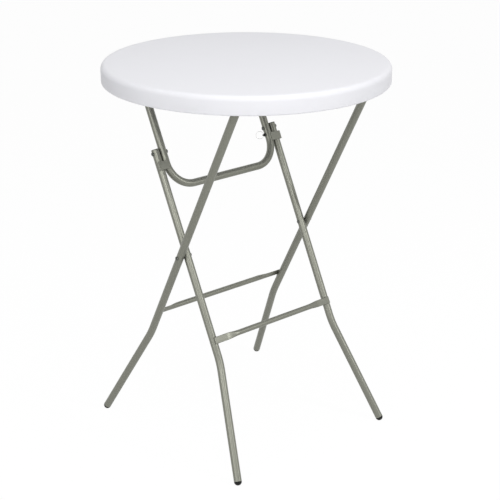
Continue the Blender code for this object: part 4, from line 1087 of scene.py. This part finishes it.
# %% Lock
BARREL_PROUD, HEAD_GAP, HEAD_LENGTH, BARREL_SHORT = 0.0038, 0.0004, 0.005, 0.0024
BARREL_RADIUS, BARREL_BORE, GROOVE_RADIUS = 0.005, 0.00285, 0.0046
PIN_TIP_RADIUS, PIN_RADIUS, PIN_HEAD_RADIUS, HEAD_ROUND = 0.0016, 0.0025, 0.003, 0.0008
EYE_RADIUS, WIRE_RADIUS, RING_RADIUS, RING_STEPS = 0.00125, 0.00055, 0.0115, 64
RING_TURN, RING_SIDES = math.radians(40.7), 12
GROOVE_CREASE, WIRE_CREASE = 25, 60
barrel_end = brace_in - BARREL_PROUD
barrel_length = BRACE_HALF + TUBE_RADIUS - TUBE_WALL - BARREL_SHORT - barrel_end
barrel_profile = [(BARREL_BORE, 0.0006), (0.0033, 0), (0.0044, 0), (BARREL_RADIUS, 0.0006),
                  (BARREL_RADIUS, 0.0012), (GROOVE_RADIUS, 0.0016), (GROOVE_RADIUS, 0.0022),
                  (BARREL_RADIUS, 0.0026), (BARREL_RADIUS, barrel_length),
                  (BARREL_BORE, barrel_length), (BARREL_BORE, 0.0006)]
barrel = lathe("lock_turned_barrel", barrel_profile, DARK_STEEL,
               INNER.at(LOCK_ALONG, 0, barrel_end), SIDEWAYS, SMALL_TURNED_STEPS, GROOVE_CREASE)
dress(barrel, DARK_STEEL, "brace", "dark_steel", "lock_barrel")

head_start = barrel_end - HEAD_GAP
pin_length = inner_in - GAP - head_start
head_round = arc((PIN_HEAD_RADIUS - HEAD_ROUND, HEAD_ROUND - HEAD_LENGTH), HEAD_ROUND, 0, -1, 4)
pin_profile = [(0, pin_length), (0.0014, pin_length), (PIN_TIP_RADIUS, pin_length - 0.0002),
               (PIN_RADIUS, pin_length - 0.0015), (PIN_RADIUS, 0), (0.0027, 0),
               (PIN_HEAD_RADIUS, -0.0004), *head_round, (0, -HEAD_LENGTH)]
pin = lathe("lock_pull_pin", pin_profile, DARK_STEEL, INNER.at(LOCK_ALONG, 0, head_start),
            SIDEWAYS, SMALL_TURNED_STEPS)
pin_eye = INNER.at(LOCK_ALONG, 0, head_start - HEAD_LENGTH / 2)
drill(pin, pin_eye - UP * HEAD_LENGTH, pin_eye + UP * HEAD_LENGTH, EYE_RADIUS, sides=20)
dress(pin, DARK_STEEL, "lock_pin", "dark_steel", "lock_pin")

hang = Vector((-math.sin(RING_TURN), -math.cos(RING_TURN), 0))
loop = []
for step in range(RING_STEPS):
    angle = math.tau * step / RING_STEPS
    loop.append(pin_eye + hang * RING_RADIUS
                + (UP * math.sin(angle) - hang * math.cos(angle)) * RING_RADIUS)
ring = grow("lock_wire_ring", BENT_TUBE,
            {"Radius": WIRE_RADIUS, "Bend Radius": 0.0, "Bend Steps": 1, "Sides": RING_SIDES,
             "Material": RING_WIRE}, path_of("ring", loop, True))
outwards(ring)
smooth(ring, WIRE_CREASE)
dress(ring, RING_WIRE, "lock_ring", "pale_wire", "lock_ring")
print("ring faces", len(ring.data.polygons))

# %% [markdown]
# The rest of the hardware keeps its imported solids: rods, caps, brackets, spacers, nuts
# and screws. They get their finishes, and a small bevel that catches the light.

# %% Finishes of the solids that stay
MERGE_DISTANCE, KEPT_BEVEL = 0.00001, 0.00025


def kept_finish(node_name):
    if node_name.startswith("bracket_screw") or node_name.endswith("pivot_rod"):
        return BRIGHT_STEEL
    # The brace nuts take the zinc with painted shade.
    if node_name.startswith("brace_nut"):
        return ZINC_PAINTED_SHADE
    return DARK_STEEL


kept = []
for node_name, solid in frame["nodes"].items():
    if solid.hide_render:
        continue
    solid.data.materials.clear()
    solid.data.materials.append(kept_finish(node_name))
    merge = solid.modifiers.new("merge", "WELD")
    merge.merge_threshold = MERGE_DISTANCE
    break_edges(solid, KEPT_BEVEL, FINE_CREASE)
    kept.append(node_name)
print("kept solids", sorted(kept))

# %% [markdown]
# Last comes the plain view of the colours.

# %% View
bpy.context.scene.view_settings.view_transform = "Standard"
